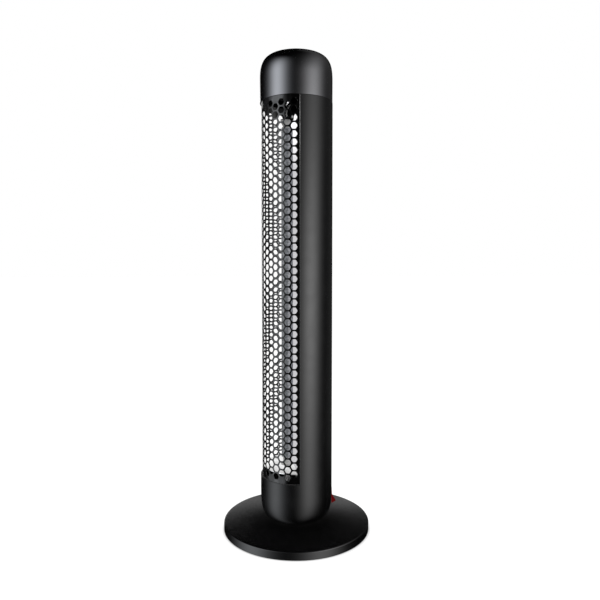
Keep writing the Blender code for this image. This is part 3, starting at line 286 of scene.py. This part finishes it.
satin_black = finish_material("satin_black_plastic", (0.0020, 0.0020, 0.0022), 0.2)
base_black = finish_material(
    "base_black_plastic", (0.0008, 0.0008, 0.0010), 0.18,
    grain=2600.0, grain_depth=0.0000006, spread=0.015,
)
# Painted shade on the base: its reflections fade close to the column, where the column's dark
# image would be mirrored.
paint_reflection_shade(base_black, weights=(1, 1, 0), near=0.058, far=0.118, low=0.09, high=0.64)
cap_black = finish_material(
    "gloss_black_cap", (0.155, 0.155, 0.161), 0.13, second=(0.158, 0.158, 0.165), metallic=1.0,
    grain=3000.0, grain_depth=0.0000006, spread=0.02,
)
guard_black = finish_material(
    "black_coated_steel", (0.0015, 0.0015, 0.0015), 0.22,
    grain=2400.0, grain_depth=0.000003, specular=0.65,
)
# Painted shade on the guard: its reflections fade close to the window's jambs.
paint_reflection_shade(guard_black, weights=(0, 1, 0), near=0.023, far=0.033, low=0.06, high=0.65)
plate_black = finish_material("black_sheet_steel", (0.006, 0.006, 0.006), 0.45)
dark_plastic = finish_material("dark_grey_plastic", (0.05, 0.05, 0.05), 0.5)
frame_black = finish_material("switch_frame_black", (0.008, 0.008, 0.008), 0.25)
red_plastic = finish_material(
    "red_plastic", (0.21, 0.0005, 0.001), 0.4, second=(0.24, 0.001, 0.002),
    specular=0.08, subsurface=0.1,
)
rubber = finish_material("black_rubber", (0.018, 0.018, 0.018), 0.8, grain_depth=0.00005)
cast_iron = finish_material(
    "cast_iron", (0.10, 0.10, 0.10), 0.7, second=(0.14, 0.13, 0.12), metallic=0.8,
    grain=900.0, grain_depth=0.00012,
)
zinc = finish_material(
    "zinc_plated_steel", (0.56, 0.57, 0.59), 0.32, second=(0.62, 0.62, 0.60), metallic=1.0,
    grain=1800.0, grain_depth=0.00001,
)
mirror = finish_material(
    "polished_aluminium", (0.86, 0.85, 0.90), 0.11, second=(0.90, 0.89, 0.93), metallic=0.9,
    grain=300.0, grain_depth=0.000002, spread=0.03, stretch=(1, 1, 0.04),
)
floor_mirror = finish_material(
    "bright_sheet_steel", (0.93, 0.93, 0.93), 0.05, second=(0.95, 0.95, 0.95), metallic=1.0,
    grain_depth=0.0000005,
)
# Painted shade: a flat black with no reflections, for parts inside the column and for the sheets
# and linings that hide surfaces there.
painted_shade_black = finish_material("painted_shade_black", (0.0012, 0.0012, 0.0012), 0.7, specular=0.0)
ceramic = finish_material("white_ceramic", (0.74, 0.73, 0.70), 0.45, grain_depth=0.00003)
milky = finish_material(
    "milky_quartz", (0.26, 0.27, 0.28), 0.22, second=(0.56, 0.57, 0.60), grain=120.0,
    grain_depth=0.00002, coat=0.3, stretch=(8, 8, 11),
)
coil = finish_material(
    "resistance_wire", (0.30, 0.28, 0.26), 0.45, metallic=1.0, stretch=(1, 1, 4),
)
sleeve_white = finish_material("white_wire_sleeve", (0.70, 0.69, 0.66), 0.75, grain_depth=0.0001)
sleeve_black = finish_material("black_wire_sleeve", (0.02, 0.02, 0.02), 0.5)


# Mesh helpers.


def new_piece(name, build, surface, body="heater", sharp=SHARP_ANGLE):
    """Runs build(bmesh), makes the piece from it and lets it ride on its body."""
    bm = bmesh.new()
    build(bm)
    bmesh.ops.recalc_face_normals(bm, faces=bm.faces)
    mesh = bpy.data.meshes.new(name)
    bm.to_mesh(mesh)
    bm.free()
    mesh.shade_smooth()
    mesh.set_sharp_from_angle(angle=radians(sharp))
    mesh.materials.append(surface)
    obj = bpy.data.objects.new(name, mesh)
    bpy.context.scene.collection.objects.link(obj)
    weighted = obj.modifiers.new("weighted_normals", "WEIGHTED_NORMAL")
    weighted.mode = "FACE_AREA"
    weighted.keep_sharp = True
    if body:
        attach(obj, body)
    return obj


def round_edges(obj, width, segments, angle):
    """Rounds the edges sharper than an angle, before the normals are weighted."""
    bevel = obj.modifiers.new("rounded_edges", "BEVEL")
    obj.modifiers.move(len(obj.modifiers) - 1, len(obj.modifiers) - 2)
    bevel.width = width
    bevel.segments = segments
    bevel.limit_method = "ANGLE"
    bevel.angle_limit = radians(angle)
    bevel.harden_normals = False


def cut_away(obj, name, cutter):
    """Takes a hidden piece's volume out of a piece, before its other modifiers."""
    cut = obj.modifiers.new(name, "BOOLEAN")
    obj.modifiers.move(1, 0)
    cut.operation = "DIFFERENCE"
    cut.solver = "EXACT"
    cut.object = cutter


def superellipse(radius, run, end_height, rise, power, count):
    """Points from (radius - run, end_height) to (radius, end_height + rise), bulging outward."""
    points = []
    for n in range(count + 1):
        turn = pi / 2 * n / count
        across = abs(sin(turn)) ** (2 / power)
        along = 1 - abs(cos(turn)) ** (2 / power)
        points.append((radius - run + run * across, end_height + rise * along))
    return points


def arc_corner(centre, radius, start, end, count):
    """Points on an arc in the (radius, height) plane, with degrees from the outward direction."""
    points = []
    for n in range(count + 1):
        turn = radians(start + (end - start) * n / count)
        points.append((centre[0] + radius * cos(turn), centre[1] + radius * sin(turn)))
    return points


def ring_at(bm, radius, height, steps, centre):
    """A ring of points round an upright axis, or one point on it."""
    if radius <= 0:
        return [bm.verts.new((centre[0], centre[1], height))]
    turns = [2 * pi * n / steps for n in range(steps)]
    return [
        bm.verts.new((centre[0] + radius * cos(turn), centre[1] + radius * sin(turn), height))
        for turn in turns
    ]


def turn_profile(bm, profile, steps=FINE_ROUND, centre=(0, 0), closed=False):
    """Turns (radius, height) points about an upright axis."""
    rings = [ring_at(bm, radius, height, steps, centre) for radius, height in profile]
    pairs = list(zip(rings, rings[1:]))
    if closed:
        pairs.append((rings[-1], rings[0]))
    for lower, upper in pairs:
        for n in range(steps):
            m = (n + 1) % steps
            if len(lower) == 1:
                bm.faces.new((lower[0], upper[n], upper[m]))
            elif len(upper) == 1:
                bm.faces.new((lower[n], lower[m], upper[0]))
            else:
                bm.faces.new((lower[n], lower[m], upper[m], upper[n]))


def add_box(bm, x, y, z):
    """A box between the two x, the two y and the two z."""
    size = Vector((x[1] - x[0], y[1] - y[0], z[1] - z[0]))
    middle = Vector((x[0] + x[1], y[0] + y[1], z[0] + z[1])) / 2
    bmesh.ops.create_cube(bm, size=1.0, matrix=Matrix.LocRotScale(middle, None, size))


def outward(angle):
    """The outward direction at an angle from the window's middle, positive towards +X."""
    return Vector((sin(angle), -cos(angle), 0))


def on_column(bm, radius, angle, height):
    """A point at a distance from the column's axis, at an angle and a height."""
    return bm.verts.new(radius * outward(angle) + Vector((0, 0, height)))


def join_loops(bm, a, b):
    """Faces between two closed loops of as many points."""
    for n in range(len(a)):
        m = (n + 1) % len(a)
        bm.faces.new((a[n], a[m], b[m], b[n]))


def sweep_section(bm, section, start, end, steps):
    """Sweeps (radius, height) points round the column from one angle in degrees to another."""
    turns = [radians(start + (end - start) * n / steps) for n in range(steps + 1)]
    loops = [[on_column(bm, radius, turn, height) for radius, height in section] for turn in turns]
    for a, b in zip(loops, loops[1:]):
        join_loops(bm, a, b)
    bm.faces.new(loops[0])
    bm.faces.new(loops[-1][::-1])


def add_bosses(bm, section, circle, first, count):
    """Hollow bosses on a circle, the first at an angle in degrees from +X."""
    for n in range(count):
        turn = radians(first + 360 / count * n)
        centre = (circle * cos(turn), circle * sin(turn))
        turn_profile(bm, section, BOSS_ROUND, centre, closed=True)


# Camera, at the place from which the photograph was taken.

CAMERA_LENS = 34.82
CAMERA_SENSOR = 36.0
CAMERA_PLACE = (0.98565, -0.18500, 0.45262)
CAMERA_TILT = radians(86.91)
CAMERA_AZIMUTH = radians(79)

camera_data = bpy.data.cameras.new("camera")
camera_data.lens = CAMERA_LENS
camera_data.sensor_width = CAMERA_SENSOR
camera = bpy.data.objects.new("camera", camera_data)
camera.location = CAMERA_PLACE
camera.rotation_euler = (CAMERA_TILT, 0, CAMERA_AZIMUTH)
bpy.context.scene.collection.objects.link(camera)
bpy.context.scene.camera = camera


# Column housing: the outer and inner surfaces share one grid, which leaves out the window.


WALL_HEIGHTS = (0.085, WINDOW_BOTTOM, 0.13, 0.2, 0.3, 0.4, 0.5, 0.6, 0.68, 0.72, HOUSING_TOP)


def housing_levels():
    """(outer radius, outer height, inner radius, inner height) from the wires' hole to the top."""
    inner_radius = COLUMN_RADIUS - COLUMN_WALL
    inner_bottom = FOOT_BOTTOM + FOOT_FLOOR
    curve = (FOOT_RISE, FOOT_POWER, FOOT_POINTS)
    outer = superellipse(COLUMN_RADIUS, FOOT_RUN, FOOT_BOTTOM, *curve)
    inner = superellipse(inner_radius, FOOT_RUN, inner_bottom, *curve)
    levels = [(WIRE_HOLE, FOOT_BOTTOM, WIRE_HOLE, inner_bottom)]
    levels += [(*a, *b) for a, b in zip(outer, inner)]
    levels += [(COLUMN_RADIUS, height, inner_radius, height) for height in WALL_HEIGHTS]
    return levels


def housing_shell(bm):
    levels = housing_levels()
    steps = FINE_ROUND
    angles = [2 * pi * n / steps for n in range(steps)]
    outer = [[on_column(bm, r, a, z) for a in angles] for r, z, _, _ in levels]
    inner = [[on_column(bm, r, a, z) for a in angles] for _, _, r, z in levels]

    def kept(column, row):
        middle = 2 * pi * (column + 0.5) / steps
        middle = min(middle, 2 * pi - middle)
        low = levels[row][1]
        return not (low >= WINDOW_BOTTOM - GAP and middle < WINDOW_HALF_ANGLE)

    rows = len(levels) - 1
    for row in range(rows):
        for n in range(steps):
            if not kept(n, row):
                continue
            m = (n + 1) % steps
            bm.faces.new((outer[row][n], outer[row][m], outer[row + 1][m], outer[row + 1][n]))
            bm.faces.new((inner[row][n], inner[row + 1][n], inner[row + 1][m], inner[row][m]))
            if not kept((n - 1) % steps, row):
                bm.faces.new((outer[row][n], outer[row + 1][n], inner[row + 1][n], inner[row][n]))
            if not kept(m, row):
                bm.faces.new((outer[row][m], inner[row][m], inner[row + 1][m], outer[row + 1][m]))
            if row == 0:
                bm.faces.new((outer[0][n], inner[0][n], inner[0][m], outer[0][m]))
            if row + 1 == rows or not kept(n, row + 1):
                top, top_in = outer[row + 1], inner[row + 1]
                bm.faces.new((top[n], top[m], top_in[m], top_in[n]))
    loose = [v for v in bm.verts if not v.link_faces]
    bmesh.ops.delete(bm, geom=loose, context="VERTS")


housing = new_piece("housing_shell", housing_shell, satin_black)
pad_cut = new_piece("pad_cut", lambda bm: add_box(bm, *SWITCH_CUT), satin_black, body=None)
pad_cut.hide_render = True
cut_away(housing, "switch_hole", pad_cut)
round_edges(housing, width=0.0005, segments=2, angle=50)


def housing_inside(bm):
    """The spigot in the cap, the rails behind the reflector and the screw bosses in the foot."""
    sweep_section(bm, SPIGOT_SECTION, SPIGOT_HALF_GAP, 360 - SPIGOT_HALF_GAP, SPIGOT_STEPS)
    for side in (-1, 1):
        for reach, depth, height in (RAIL, RAIL_HEAD):
            add_box(bm, sorted(side * x for x in reach), depth, height)
    add_bosses(bm, FOOT_BOSS, FOOT_BOSS_CIRCLE, 45, 4)


# Painted shade: the inner parts take the flat shade black.
inside = new_piece("housing_inside", housing_inside, painted_shade_black)
round_edges(inside, width=0.0003, segments=2, angle=50)


def switch_pad(bm):
    """The flat frame of plastic round the switch, moulded into the column."""
    outer_x, outer_z = 0.0094, 0.0182
    inner_x, inner_z = 0.0088, 0.0176
    front, back = 0.0615, 0.0515

    def loop(half_x, half_z, y):
        corners = ((-half_x, -half_z), (half_x, -half_z), (half_x, half_z), (-half_x, half_z))
        return [bm.verts.new((x, y, PIVOT.z + z)) for x, z in corners]

    loops = [loop(outer_x, outer_z, back), loop(outer_x, outer_z, front)]
    loops += [loop(inner_x, inner_z, front), loop(inner_x, inner_z, back)]
    for a, b in zip(loops, loops[1:] + loops[:1]):
        join_loops(bm, a, b)


pad = new_piece("switch_pad", switch_pad, satin_black)
round_edges(pad, width=0.0003, segments=3, angle=40)
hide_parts("column_housing")


# Cap: a domed shell with three screw bosses.


def cap_shell(bm):
    inner_radius = CAP_RADIUS - CAP_WALL
    inner_top = TOTAL_HEIGHT - CAP_ROOF
    curve = (-DOME_DROP, DOME_POWER, DOME_POINTS)
    outer = superellipse(CAP_RADIUS, DOME_RUN, TOTAL_HEIGHT, *curve)
    inner = superellipse(inner_radius, DOME_RUN, inner_top, *curve)
    rounding = CAP_RIM_ROUND
    rim = arc_corner((CAP_RADIUS - rounding, CAP_RIM + rounding), rounding, 0, -90, 4)
    rim += arc_corner((inner_radius + rounding, CAP_RIM + rounding), rounding, -90, -180, 4)
    crown = [(CAP_RADIUS - DOME_RUN - CROWN_STEP * n, TOTAL_HEIGHT) for n in (2, 1)]
    profile = [(0, TOTAL_HEIGHT), *crown, *outer, (CAP_RADIUS, CAP_STRAIGHT)]
    profile += [*rim, (inner_radius, CAP_STRAIGHT), *reversed(inner), (0, inner_top)]
    turn_profile(bm, profile)
    add_bosses(bm, CAP_BOSS, CAP_BOSS_CIRCLE, 90, 3)


cap = new_piece("cap_shell", cap_shell, cap_black)
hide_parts("top_cap")


# Base cover: a shallow cone with a rounded rim.


def base_shell(bm):
    cone_end = BASE_RADIUS - RIM_ROUND
    cone = []
    for n in range(CONE_RINGS):
        share = n / CONE_RINGS
        radius = SEAT_RADIUS + (cone_end - SEAT_RADIUS) * share
        cone.append((radius, SEAT_TOP + (RIM_TOP - SEAT_TOP) * share))
    corner = arc_corner((cone_end, RIM_TOP - RIM_ROUND), RIM_ROUND, 86, 0, 7)
    skirt = (BASE_RADIUS - SKIRT_ROUND, RIM_BOTTOM + SKIRT_ROUND)
    low = arc_corner(skirt, SKIRT_ROUND, 0, -90, 3)
    inner = BASE_RADIUS - BASE_WALL
    profile = [(WIRE_HOLE, SEAT_TOP), *cone, *corner, *low]
    profile += [(inner, RIM_BOTTOM), (inner, RIM_TOP - BASE_WALL)]
    profile += [(SEAT_RADIUS, SEAT_TOP - BASE_WALL), (WIRE_HOLE, SEAT_TOP - BASE_WALL)]
    turn_profile(bm, profile, closed=True)


def bush_hole(bm):
    """The cord's way out through the back of the rim."""
    place = Matrix.Translation((0, BASE_RADIUS, BUSH_HEIGHT)) @ Matrix.Rotation(pi / 2, 4, "X")
    bmesh.ops.create_cone(
        bm, cap_ends=True, segments=BUSH_ROUND, radius1=BUSH_HOLE_RADIUS,
        radius2=BUSH_HOLE_RADIUS, depth=BUSH_HOLE_DEPTH, matrix=place,
    )


base = new_piece("base_shell", base_shell, base_black, sharp=50)
bush_cut = new_piece("bush_cut", bush_hole, base_black, body=None)
bush_cut.hide_render = True
cut_away(base, "cord_outlet", bush_cut)
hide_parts("base_cover")


# Guard: the full pattern of openings, laid out flat, cut, and bent round the column.

COLUMN_STEP = radians(10.5)
PATTERN_TURN = radians(2.4)
COLUMNS = range(-7, 8)
ROWS = 48
PITCH = 0.01295
ODD_TOP = 0.7208
EVEN_TOP = 0.7143
HOLE_HALF_WIDTH = 0.0058
HOLE_HALF_HEIGHT = 0.0052
HOLE_CORNER = 0.0014
HOLE_EDGE = 0.00015
SHEET_ACROSS = 68
SHEET_UP = 60
MERGE_DISTANCE = 1e-7


def opening_outline(centre_s, centre_z, grow=0.0):
    """A six-sided opening with points at its left and right and rounded corners."""
    a = HOLE_HALF_WIDTH + grow
    b = HOLE_HALF_HEIGHT + grow
    half_top = a - b / sqrt(3)
    right = [(a, 0), (half_top, b), (-half_top, b)]
    corners = [Vector(p) for p in right + [(-x, -y) for x, y in right]]
    points = []
    for n in range(6):
        before, here, after = corners[n - 1], corners[n], corners[(n + 1) % 6]
        start = here + (before - here).normalized() * HOLE_CORNER
        end = here + (after - here).normalized() * HOLE_CORNER
        for t in (0.0, 0.5, 1.0):
            point = start * (1 - t) ** 2 + here * 2 * t * (1 - t) + end * t**2
            points.append((centre_s + point.x, centre_z + point.y))
    return points


def guard_centres():
    """Where the openings are on the flat sheet, in columns that stand half a pitch apart."""
    centres = []
    for k in COLUMNS:
        across = (k * COLUMN_STEP + PATTERN_TURN) * GUARD_OUTER
        top = ODD_TOP if k % 2 else EVEN_TOP
        centres += [(across, top - PITCH * i) for i in range(ROWS)]
    return centres


def guard_sheet(bm):
    """The sheet, from a flat net of triangles whose points all lie on the border or an opening."""
    half = WINDOW_HALF_ANGLE * GUARD_OUTER
    along = [half * (2 * n / SHEET_ACROSS - 1) for n in range(SHEET_ACROSS + 1)]
    up = [GUARD_BOTTOM + (GUARD_TOP - GUARD_BOTTOM) * n / SHEET_UP for n in range(SHEET_UP + 1)]
    border = [(s, GUARD_BOTTOM) for s in along] + [(half, z) for z in up[1:]]
    border += [(s, GUARD_TOP) for s in along[-2::-1]] + [(-half, z) for z in up[-2:0:-1]]
    centres = guard_centres()
    loops = [border] + [opening_outline(s, z, HOLE_EDGE) for s, z in centres]
    flat = []
    edges = []
    for loop in loops:
        first = len(flat)
        flat += loop
        edges += [(first + n, first + (n + 1) % len(loop)) for n in range(len(loop))]
    net = delaunay_2d_cdt([Vector(p) for p in flat], edges, [], 1, MERGE_DISTANCE)
    points, _, faces, origins, _, _ = net
    lookup = {}
    for index, origin in enumerate(origins):
        for source in origin:
            lookup[source] = index
    owner = {}
    first = 0
    for number, loop in enumerate(loops):
        for n in range(len(loop)):
            owner[lookup[first + n]] = number
        first += len(loop)
    faces = [f for f in faces if owner[f[0]] == 0 or len({owner[n] for n in f}) > 1]

    def bent(outline, radius):
        return [on_column(bm, radius, s / GUARD_OUTER, z) for s, z in outline]

    inner_radius = GUARD_OUTER - GUARD_SHEET
    front = bent(points, GUARD_OUTER)
    back = bent(points, inner_radius)
    for face in faces:
        bm.faces.new([front[n] for n in face])
        bm.faces.new([back[n] for n in reversed(face)])
    first = 0
    for number, loop in enumerate(loops):
        count = len(loop)
        ids = [lookup[first + n] for n in range(count)]
        first += count
        if number == 0:
            for n in range(count):
                a, b = ids[n], ids[(n + 1) % count]
                bm.faces.new((front[a], back[a], back[b], front[b]))
            continue
        inner = opening_outline(*centres[number - 1])
        lip = bent(inner, GUARD_OUTER - HOLE_EDGE)
        low = bent(inner, inner_radius + HOLE_EDGE)
        for n in range(count):
            m = (n + 1) % count
            bm.faces.new((front[ids[n]], front[ids[m]], lip[m], lip[n]))
            bm.faces.new((lip[n], lip[m], low[m], low[n]))
            bm.faces.new((low[n], low[m], back[ids[m]], back[ids[n]]))


guard = new_piece("guard_sheet", guard_sheet, guard_black, sharp=30)
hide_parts("guard")


# Painted shade: dark sheets in front of the reflector's ends above and below the lamp's chamber,
# and dark linings inside the cap's rim and the foot.


def chamber_shade_sheets(bm):
    add_box(bm, *UPPER_SHADE_SHEET)
    add_box(bm, *LOWER_SHADE_SHEET)


def cap_shade_lining(bm):
    turn_profile(bm, CAP_SHADE_LINING, closed=True)


def foot_shade_lining(bm):
    half = FOOT_SHADE_LINING_HALF_ANGLE
    sweep_section(bm, FOOT_SHADE_LINING, -half, half, LINING_STEPS)


new_piece("chamber_shade_sheets", chamber_shade_sheets, painted_shade_black)
new_piece("cap_shade_lining", cap_shade_lining, painted_shade_black)
new_piece("foot_shade_lining", foot_shade_lining, painted_shade_black)


# Lamp: a smooth milky tube. Its ends and its winding are the CAD model's.


def lamp_tube(bm):
    inner = LAMP_RADIUS - LAMP_WALL
    edge = LAMP_EDGE
    outer = LAMP_RADIUS
    profile = [(inner, LAMP_TOP), (outer - edge, LAMP_TOP), (outer, LAMP_TOP - edge)]
    profile += [(outer, LAMP_BOTTOM + edge), (outer - edge, LAMP_BOTTOM), (inner, LAMP_BOTTOM)]
    turn_profile(bm, profile, LAMP_ROUND, (0, LAMP_Y), closed=True)


lamp = new_piece("lamp_tube", lamp_tube, milky)
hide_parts("quartz_tube")


# Rocker: two slopes that meet in a shallow valley.


def rocker_cap(bm):
    reach, valley, half_height = 0.0094, 0.0062, 0.0128
    root, shoulder, skirt = -0.0020, 0.0030, 0.0144
    half_width = 0.0055
    valley_power = 1.25
    crown = []
    for n in range(ROCKER_STEPS + 1):
        t = n / ROCKER_STEPS * 2 - 1
        rise = (reach - valley) * abs(t) ** valley_power
        crown.append((valley + rise, half_height * t))
    outline = [(root, -skirt), (shoulder, -skirt), *crown, (shoulder, skirt), (root, skirt)]
    sides = (-half_width, half_width)
    left, right = [[bm.verts.new((x, y, z)) for y, z in outline] for x in sides]
    bm.faces.new(left)
    bm.faces.new(right[::-1])
    for n in range(len(outline)):
        m = (n + 1) % len(outline)
        bm.faces.new((left[n], right[n], right[m], left[m]))
    turned = Matrix.Translation(PIVOT) @ Matrix.Rotation(ROCKER_TILT, 4, "X")
    bmesh.ops.transform(bm, matrix=turned, verts=bm.verts)


rocker_piece = new_piece(
    "rocker_cap", rocker_cap, red_plastic, body="rocker", sharp=30,
)
round_edges(rocker_piece, width=0.0003, segments=3, angle=25)
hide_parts("power_rocker")


# Finishes of the CAD nodes that stay in view.

FINISHES = {
    "cord_bush": rubber,
    "base_weight": cast_iron,
    "base_plate": zinc,
    "tip_over_switch": satin_black,
    "tip_over_plunger": dark_plastic,
    "cap_plate": plate_black,
    "reflector": mirror,
    # Painted shade: the upper bracket takes the flat shade black.
    "upper_bracket": painted_shade_black,
    "lamp_floor": floor_mirror,
    "upper_lamp_end": ceramic,
    "lower_lamp_end": ceramic,
    "heating_coil": coil,
    "thermal_cutout": ceramic,
    "terminal_block": ceramic,
    "upper_lamp_lead": sleeve_white,
    "cutout_lead": sleeve_white,
    "lower_lamp_lead": sleeve_white,
    "switch_lead_1": sleeve_black,
    "switch_lead_2": sleeve_black,
    "switch_body": frame_black,
}
for name, node in nodes.items():
    surface = FINISHES.get(name)
    if "screw" in name:
        surface = zinc
    if name.startswith("foot_pad"):
        surface = rubber
    if surface is None:
        continue
    node.data.materials.clear()
    node.data.materials.append(surface)
    node.data.shade_smooth()
    node.data.set_sharp_from_angle(angle=radians(SHARP_ANGLE))


# World: white for the camera, studio softboxes for reflections, plain light for the rest.

world = bpy.data.worlds.new("studio")
bpy.context.scene.world = world
world.use_nodes = True
world.cycles.sampling_method = "NONE"
studio = Nodes(world.node_tree)
times = studio.product
direction = studio.add("ShaderNodeSeparateXYZ")
studio.link(studio.add("ShaderNodeTexCoord").outputs["Generated"], direction.inputs[0])
x, y, z = direction.outputs
flat_length = studio.math("SQRT", studio.math("ADD", times(x, x), times(y, y)))
flat_length = studio.math("MAXIMUM", flat_length, 0.001)


def plus(*values):
    """All the values added."""
    total = values[0]
    for value in values[1:]:
        total = studio.math("ADD", total, value)
    return total


def facing(azimuth):
    """1 towards an azimuth in degrees, which is a number or a socket, and -1 away from it."""
    if isinstance(azimuth, bpy.types.NodeSocket):
        turn = studio.math("RADIANS", azimuth)
        across = times(x, studio.math("SINE", turn))
        ahead = times(y, studio.math("COSINE", turn))
    else:
        across = times(x, sin(radians(azimuth)))
        ahead = times(y, cos(radians(azimuth)))
    return studio.math("DIVIDE", studio.math("SUBTRACT", across, ahead), flat_length)


def bell(value, middle, spread):
    """A bell curve of value."""
    away = studio.math("DIVIDE", studio.math("SUBTRACT", value, middle), spread)
    return studio.math("EXPONENT", times(away, away, -0.5))


def panel(azimuth, sharpness):
    """A soft upright panel: its share of light at the direction looked in."""
    away = studio.math("SUBTRACT", facing(azimuth), 1.0)
    return studio.math("EXPONENT", studio.math("DIVIDE", away, sharpness))


def sector(azimuth, far, near, far_level=0.0, near_level=1.0):
    """A level within near degrees of an azimuth, and another beyond far degrees."""
    ends = (cos(radians(far)), cos(radians(near)))
    return studio.ramp(facing(azimuth), *ends, far_level, near_level)


def heights(low, high, low_level=0.0, high_level=1.0):
    """A smooth step with height, which is the sine of the elevation looked in."""
    return studio.ramp(z, low, high, low_level, high_level)


# The left panel leans with height and is brighter higher up.
left_azimuth = plus(times(z, 11.5), 14.6)
left_light = times(heights(-1.15, -0.35), heights(0.80, 0.24), plus(times(z, 0.9), 2.3))
left_panel = times(panel(left_azimuth, 0.112), left_light)

# The right panel leans and widens above the horizon, and is brightest just under it.
rise = studio.math("MAXIMUM", z, 0.0)
squared = times(rise, rise)
right_azimuth = plus(times(z, 16), times(squared, 40), 126.0)
right_width = plus(times(squared, 0.3), 0.112)
right_core = times(bell(z, -0.05, 0.19), 2.6)
right_fill = times(studio.math("SUBTRACT", 1.0, rise), 1.25, heights(-1.0, -0.45))
right_panel = times(panel(right_azimuth, right_width), plus(right_core, right_fill))

# The back panel lights the top of the base. It has a dark gap straight behind the column.
back_wide = times(sector(275, 34, 6), sector(250, 36, 24))
back_gap = sector(260.5, 10.5, 3, far_level=2.3, near_level=0.2)
back_band = plus(heights(0.32, 0.24, high_level=0.85), heights(0.40, 0.29, high_level=0.25))
back_band = times(back_band, heights(0.10, 0.24))
back_panel = times(back_wide, back_gap, back_band)

# A strip for the column's left edge, a patch on the cap and a glow for the base's far left.
side_strip = times(sector(281.5, 11, 5), 0.66, heights(0.275, 0.255), heights(-0.345, -0.325))
far_patch = times(sector(259, 8, 4), bell(z, 0.32, 0.016))
far_glow = times(sector(269, 9, 4), bell(z, 0.25, 0.022), 0.5)
edge_fill = times(panel(205, 0.12), 0.08, heights(-0.37, -0.28))
back_panel = studio.math("MAXIMUM", back_panel, studio.math("MAXIMUM", side_strip, far_patch))
back_panel = plus(back_panel, far_glow, edge_fill)

PLAIN_LEVEL = 0.38
DARKEST_MIRRORED = 0.006
LEFT_TINT = (0.955, 0.99, 1.03, 1)

glossy_level = plus(left_panel, right_panel, back_panel, DARKEST_MIRRORED)
left_share = studio.math("DIVIDE", left_panel, glossy_level, clamp=True)
path = studio.add("ShaderNodeLightPath")
glossy_ray = path.outputs["Is Glossy Ray"]
seen = studio.math("MAXIMUM", path.outputs["Is Camera Ray"], path.outputs["Is Transmission Ray"])
level = studio.add("ShaderNodeMix", data_type="FLOAT")
studio.link(glossy_ray, level.inputs["Factor"])
level.inputs["A"].default_value = PLAIN_LEVEL
studio.link(glossy_level, level.inputs["B"])
shown = studio.add("ShaderNodeMix", data_type="FLOAT")
studio.link(seen, shown.inputs["Factor"])
studio.link(level.outputs["Result"], shown.inputs["A"])
shown.inputs["B"].default_value = 1.0
tint = studio.add("ShaderNodeMix", data_type="RGBA")
studio.link(times(glossy_ray, left_share), tint.inputs["Factor"])
tint.inputs["A"].default_value = (1, 1, 1, 1)
tint.inputs["B"].default_value = LEFT_TINT
background = studio.add("ShaderNodeBackground")
studio.link(tint.outputs["Result"], background.inputs["Color"])
studio.link(shown.outputs["Result"], background.inputs["Strength"])
studio.link(background.outputs[0], studio.add("ShaderNodeOutputWorld").inputs["Surface"])


# Floor: white to the eye, with the object's soft shadow.

FLOOR_SIZE = 30.0
FLOOR_GREY = (0.30, 0.30, 0.30, 1)
FLOOR_GLOW = 0.91
SHADOW_REACH = 0.005


def floor_sheet(bm):
    bmesh.ops.create_grid(bm, x_segments=1, y_segments=1, size=FLOOR_SIZE)


floor_surface = bpy.data.materials.new("floor")
floor_surface.use_nodes = True
build = Nodes(floor_surface.node_tree)
paint = build.add("ShaderNodeBsdfDiffuse")
paint.inputs["Color"].default_value = FLOOR_GREY
glow = build.add("ShaderNodeEmission")
nearness = build.add("ShaderNodeAmbientOcclusion", samples=8)
nearness.inputs["Distance"].default_value = SHADOW_REACH
path = build.add("ShaderNodeLightPath")
seen = build.math("MAXIMUM", path.outputs["Is Camera Ray"], path.outputs["Is Transmission Ray"])
glow_level = build.product(seen, build.product(nearness.outputs["AO"], FLOOR_GLOW))
build.link(glow_level, glow.inputs["Strength"])
both = build.add("ShaderNodeAddShader")
build.link(paint.outputs[0], both.inputs[0])
build.link(glow.outputs[0], both.inputs[1])
build.link(both.outputs[0], build.add("ShaderNodeOutputMaterial").inputs["Surface"])

floor = new_piece("floor", floor_sheet, floor_surface, body=None)


# Gloss shows the studio only, as in a retouched product picture.

for piece in bpy.data.objects:
    if piece.type == "MESH":
        piece.visible_glossy = False


# Lamps for the surfaces that aren't glossy.


LAMP_AIM = Vector((0, 0, 0.35))


def area_light(name, azimuth, distance, height, width, tall, power, tint=(1, 1, 1)):
    """A plain rectangular lamp that points at the column, unseen itself and in reflections."""
    data = bpy.data.lights.new(name, "AREA")
    data.shape = "RECTANGLE"
    data.size = width
    data.size_y = tall
    data.energy = power
    data.color = tint
    lamp_object = bpy.data.objects.new(name, data)
    place = distance * outward(radians(azimuth)) + Vector((0, 0, height))
    lamp_object.location = place
    lamp_object.rotation_euler = (LAMP_AIM - place).to_track_quat("-Z", "Y").to_euler()
    lamp_object.visible_camera = False
    lamp_object.visible_glossy = False
    bpy.context.scene.collection.objects.link(lamp_object)


area_light(
    "left_softbox", azimuth=5, distance=1.8, height=0.9, width=1.2, tall=1.6, power=10.0,
    tint=(0.96, 0.98, 1.0),
)
area_light("right_softbox", azimuth=124, distance=1.8, height=0.8, width=0.9, tall=1.4, power=9.0)
area_light("top_softbox", azimuth=60, distance=0.5, height=2.2, width=1.6, tall=1.6, power=12.0)
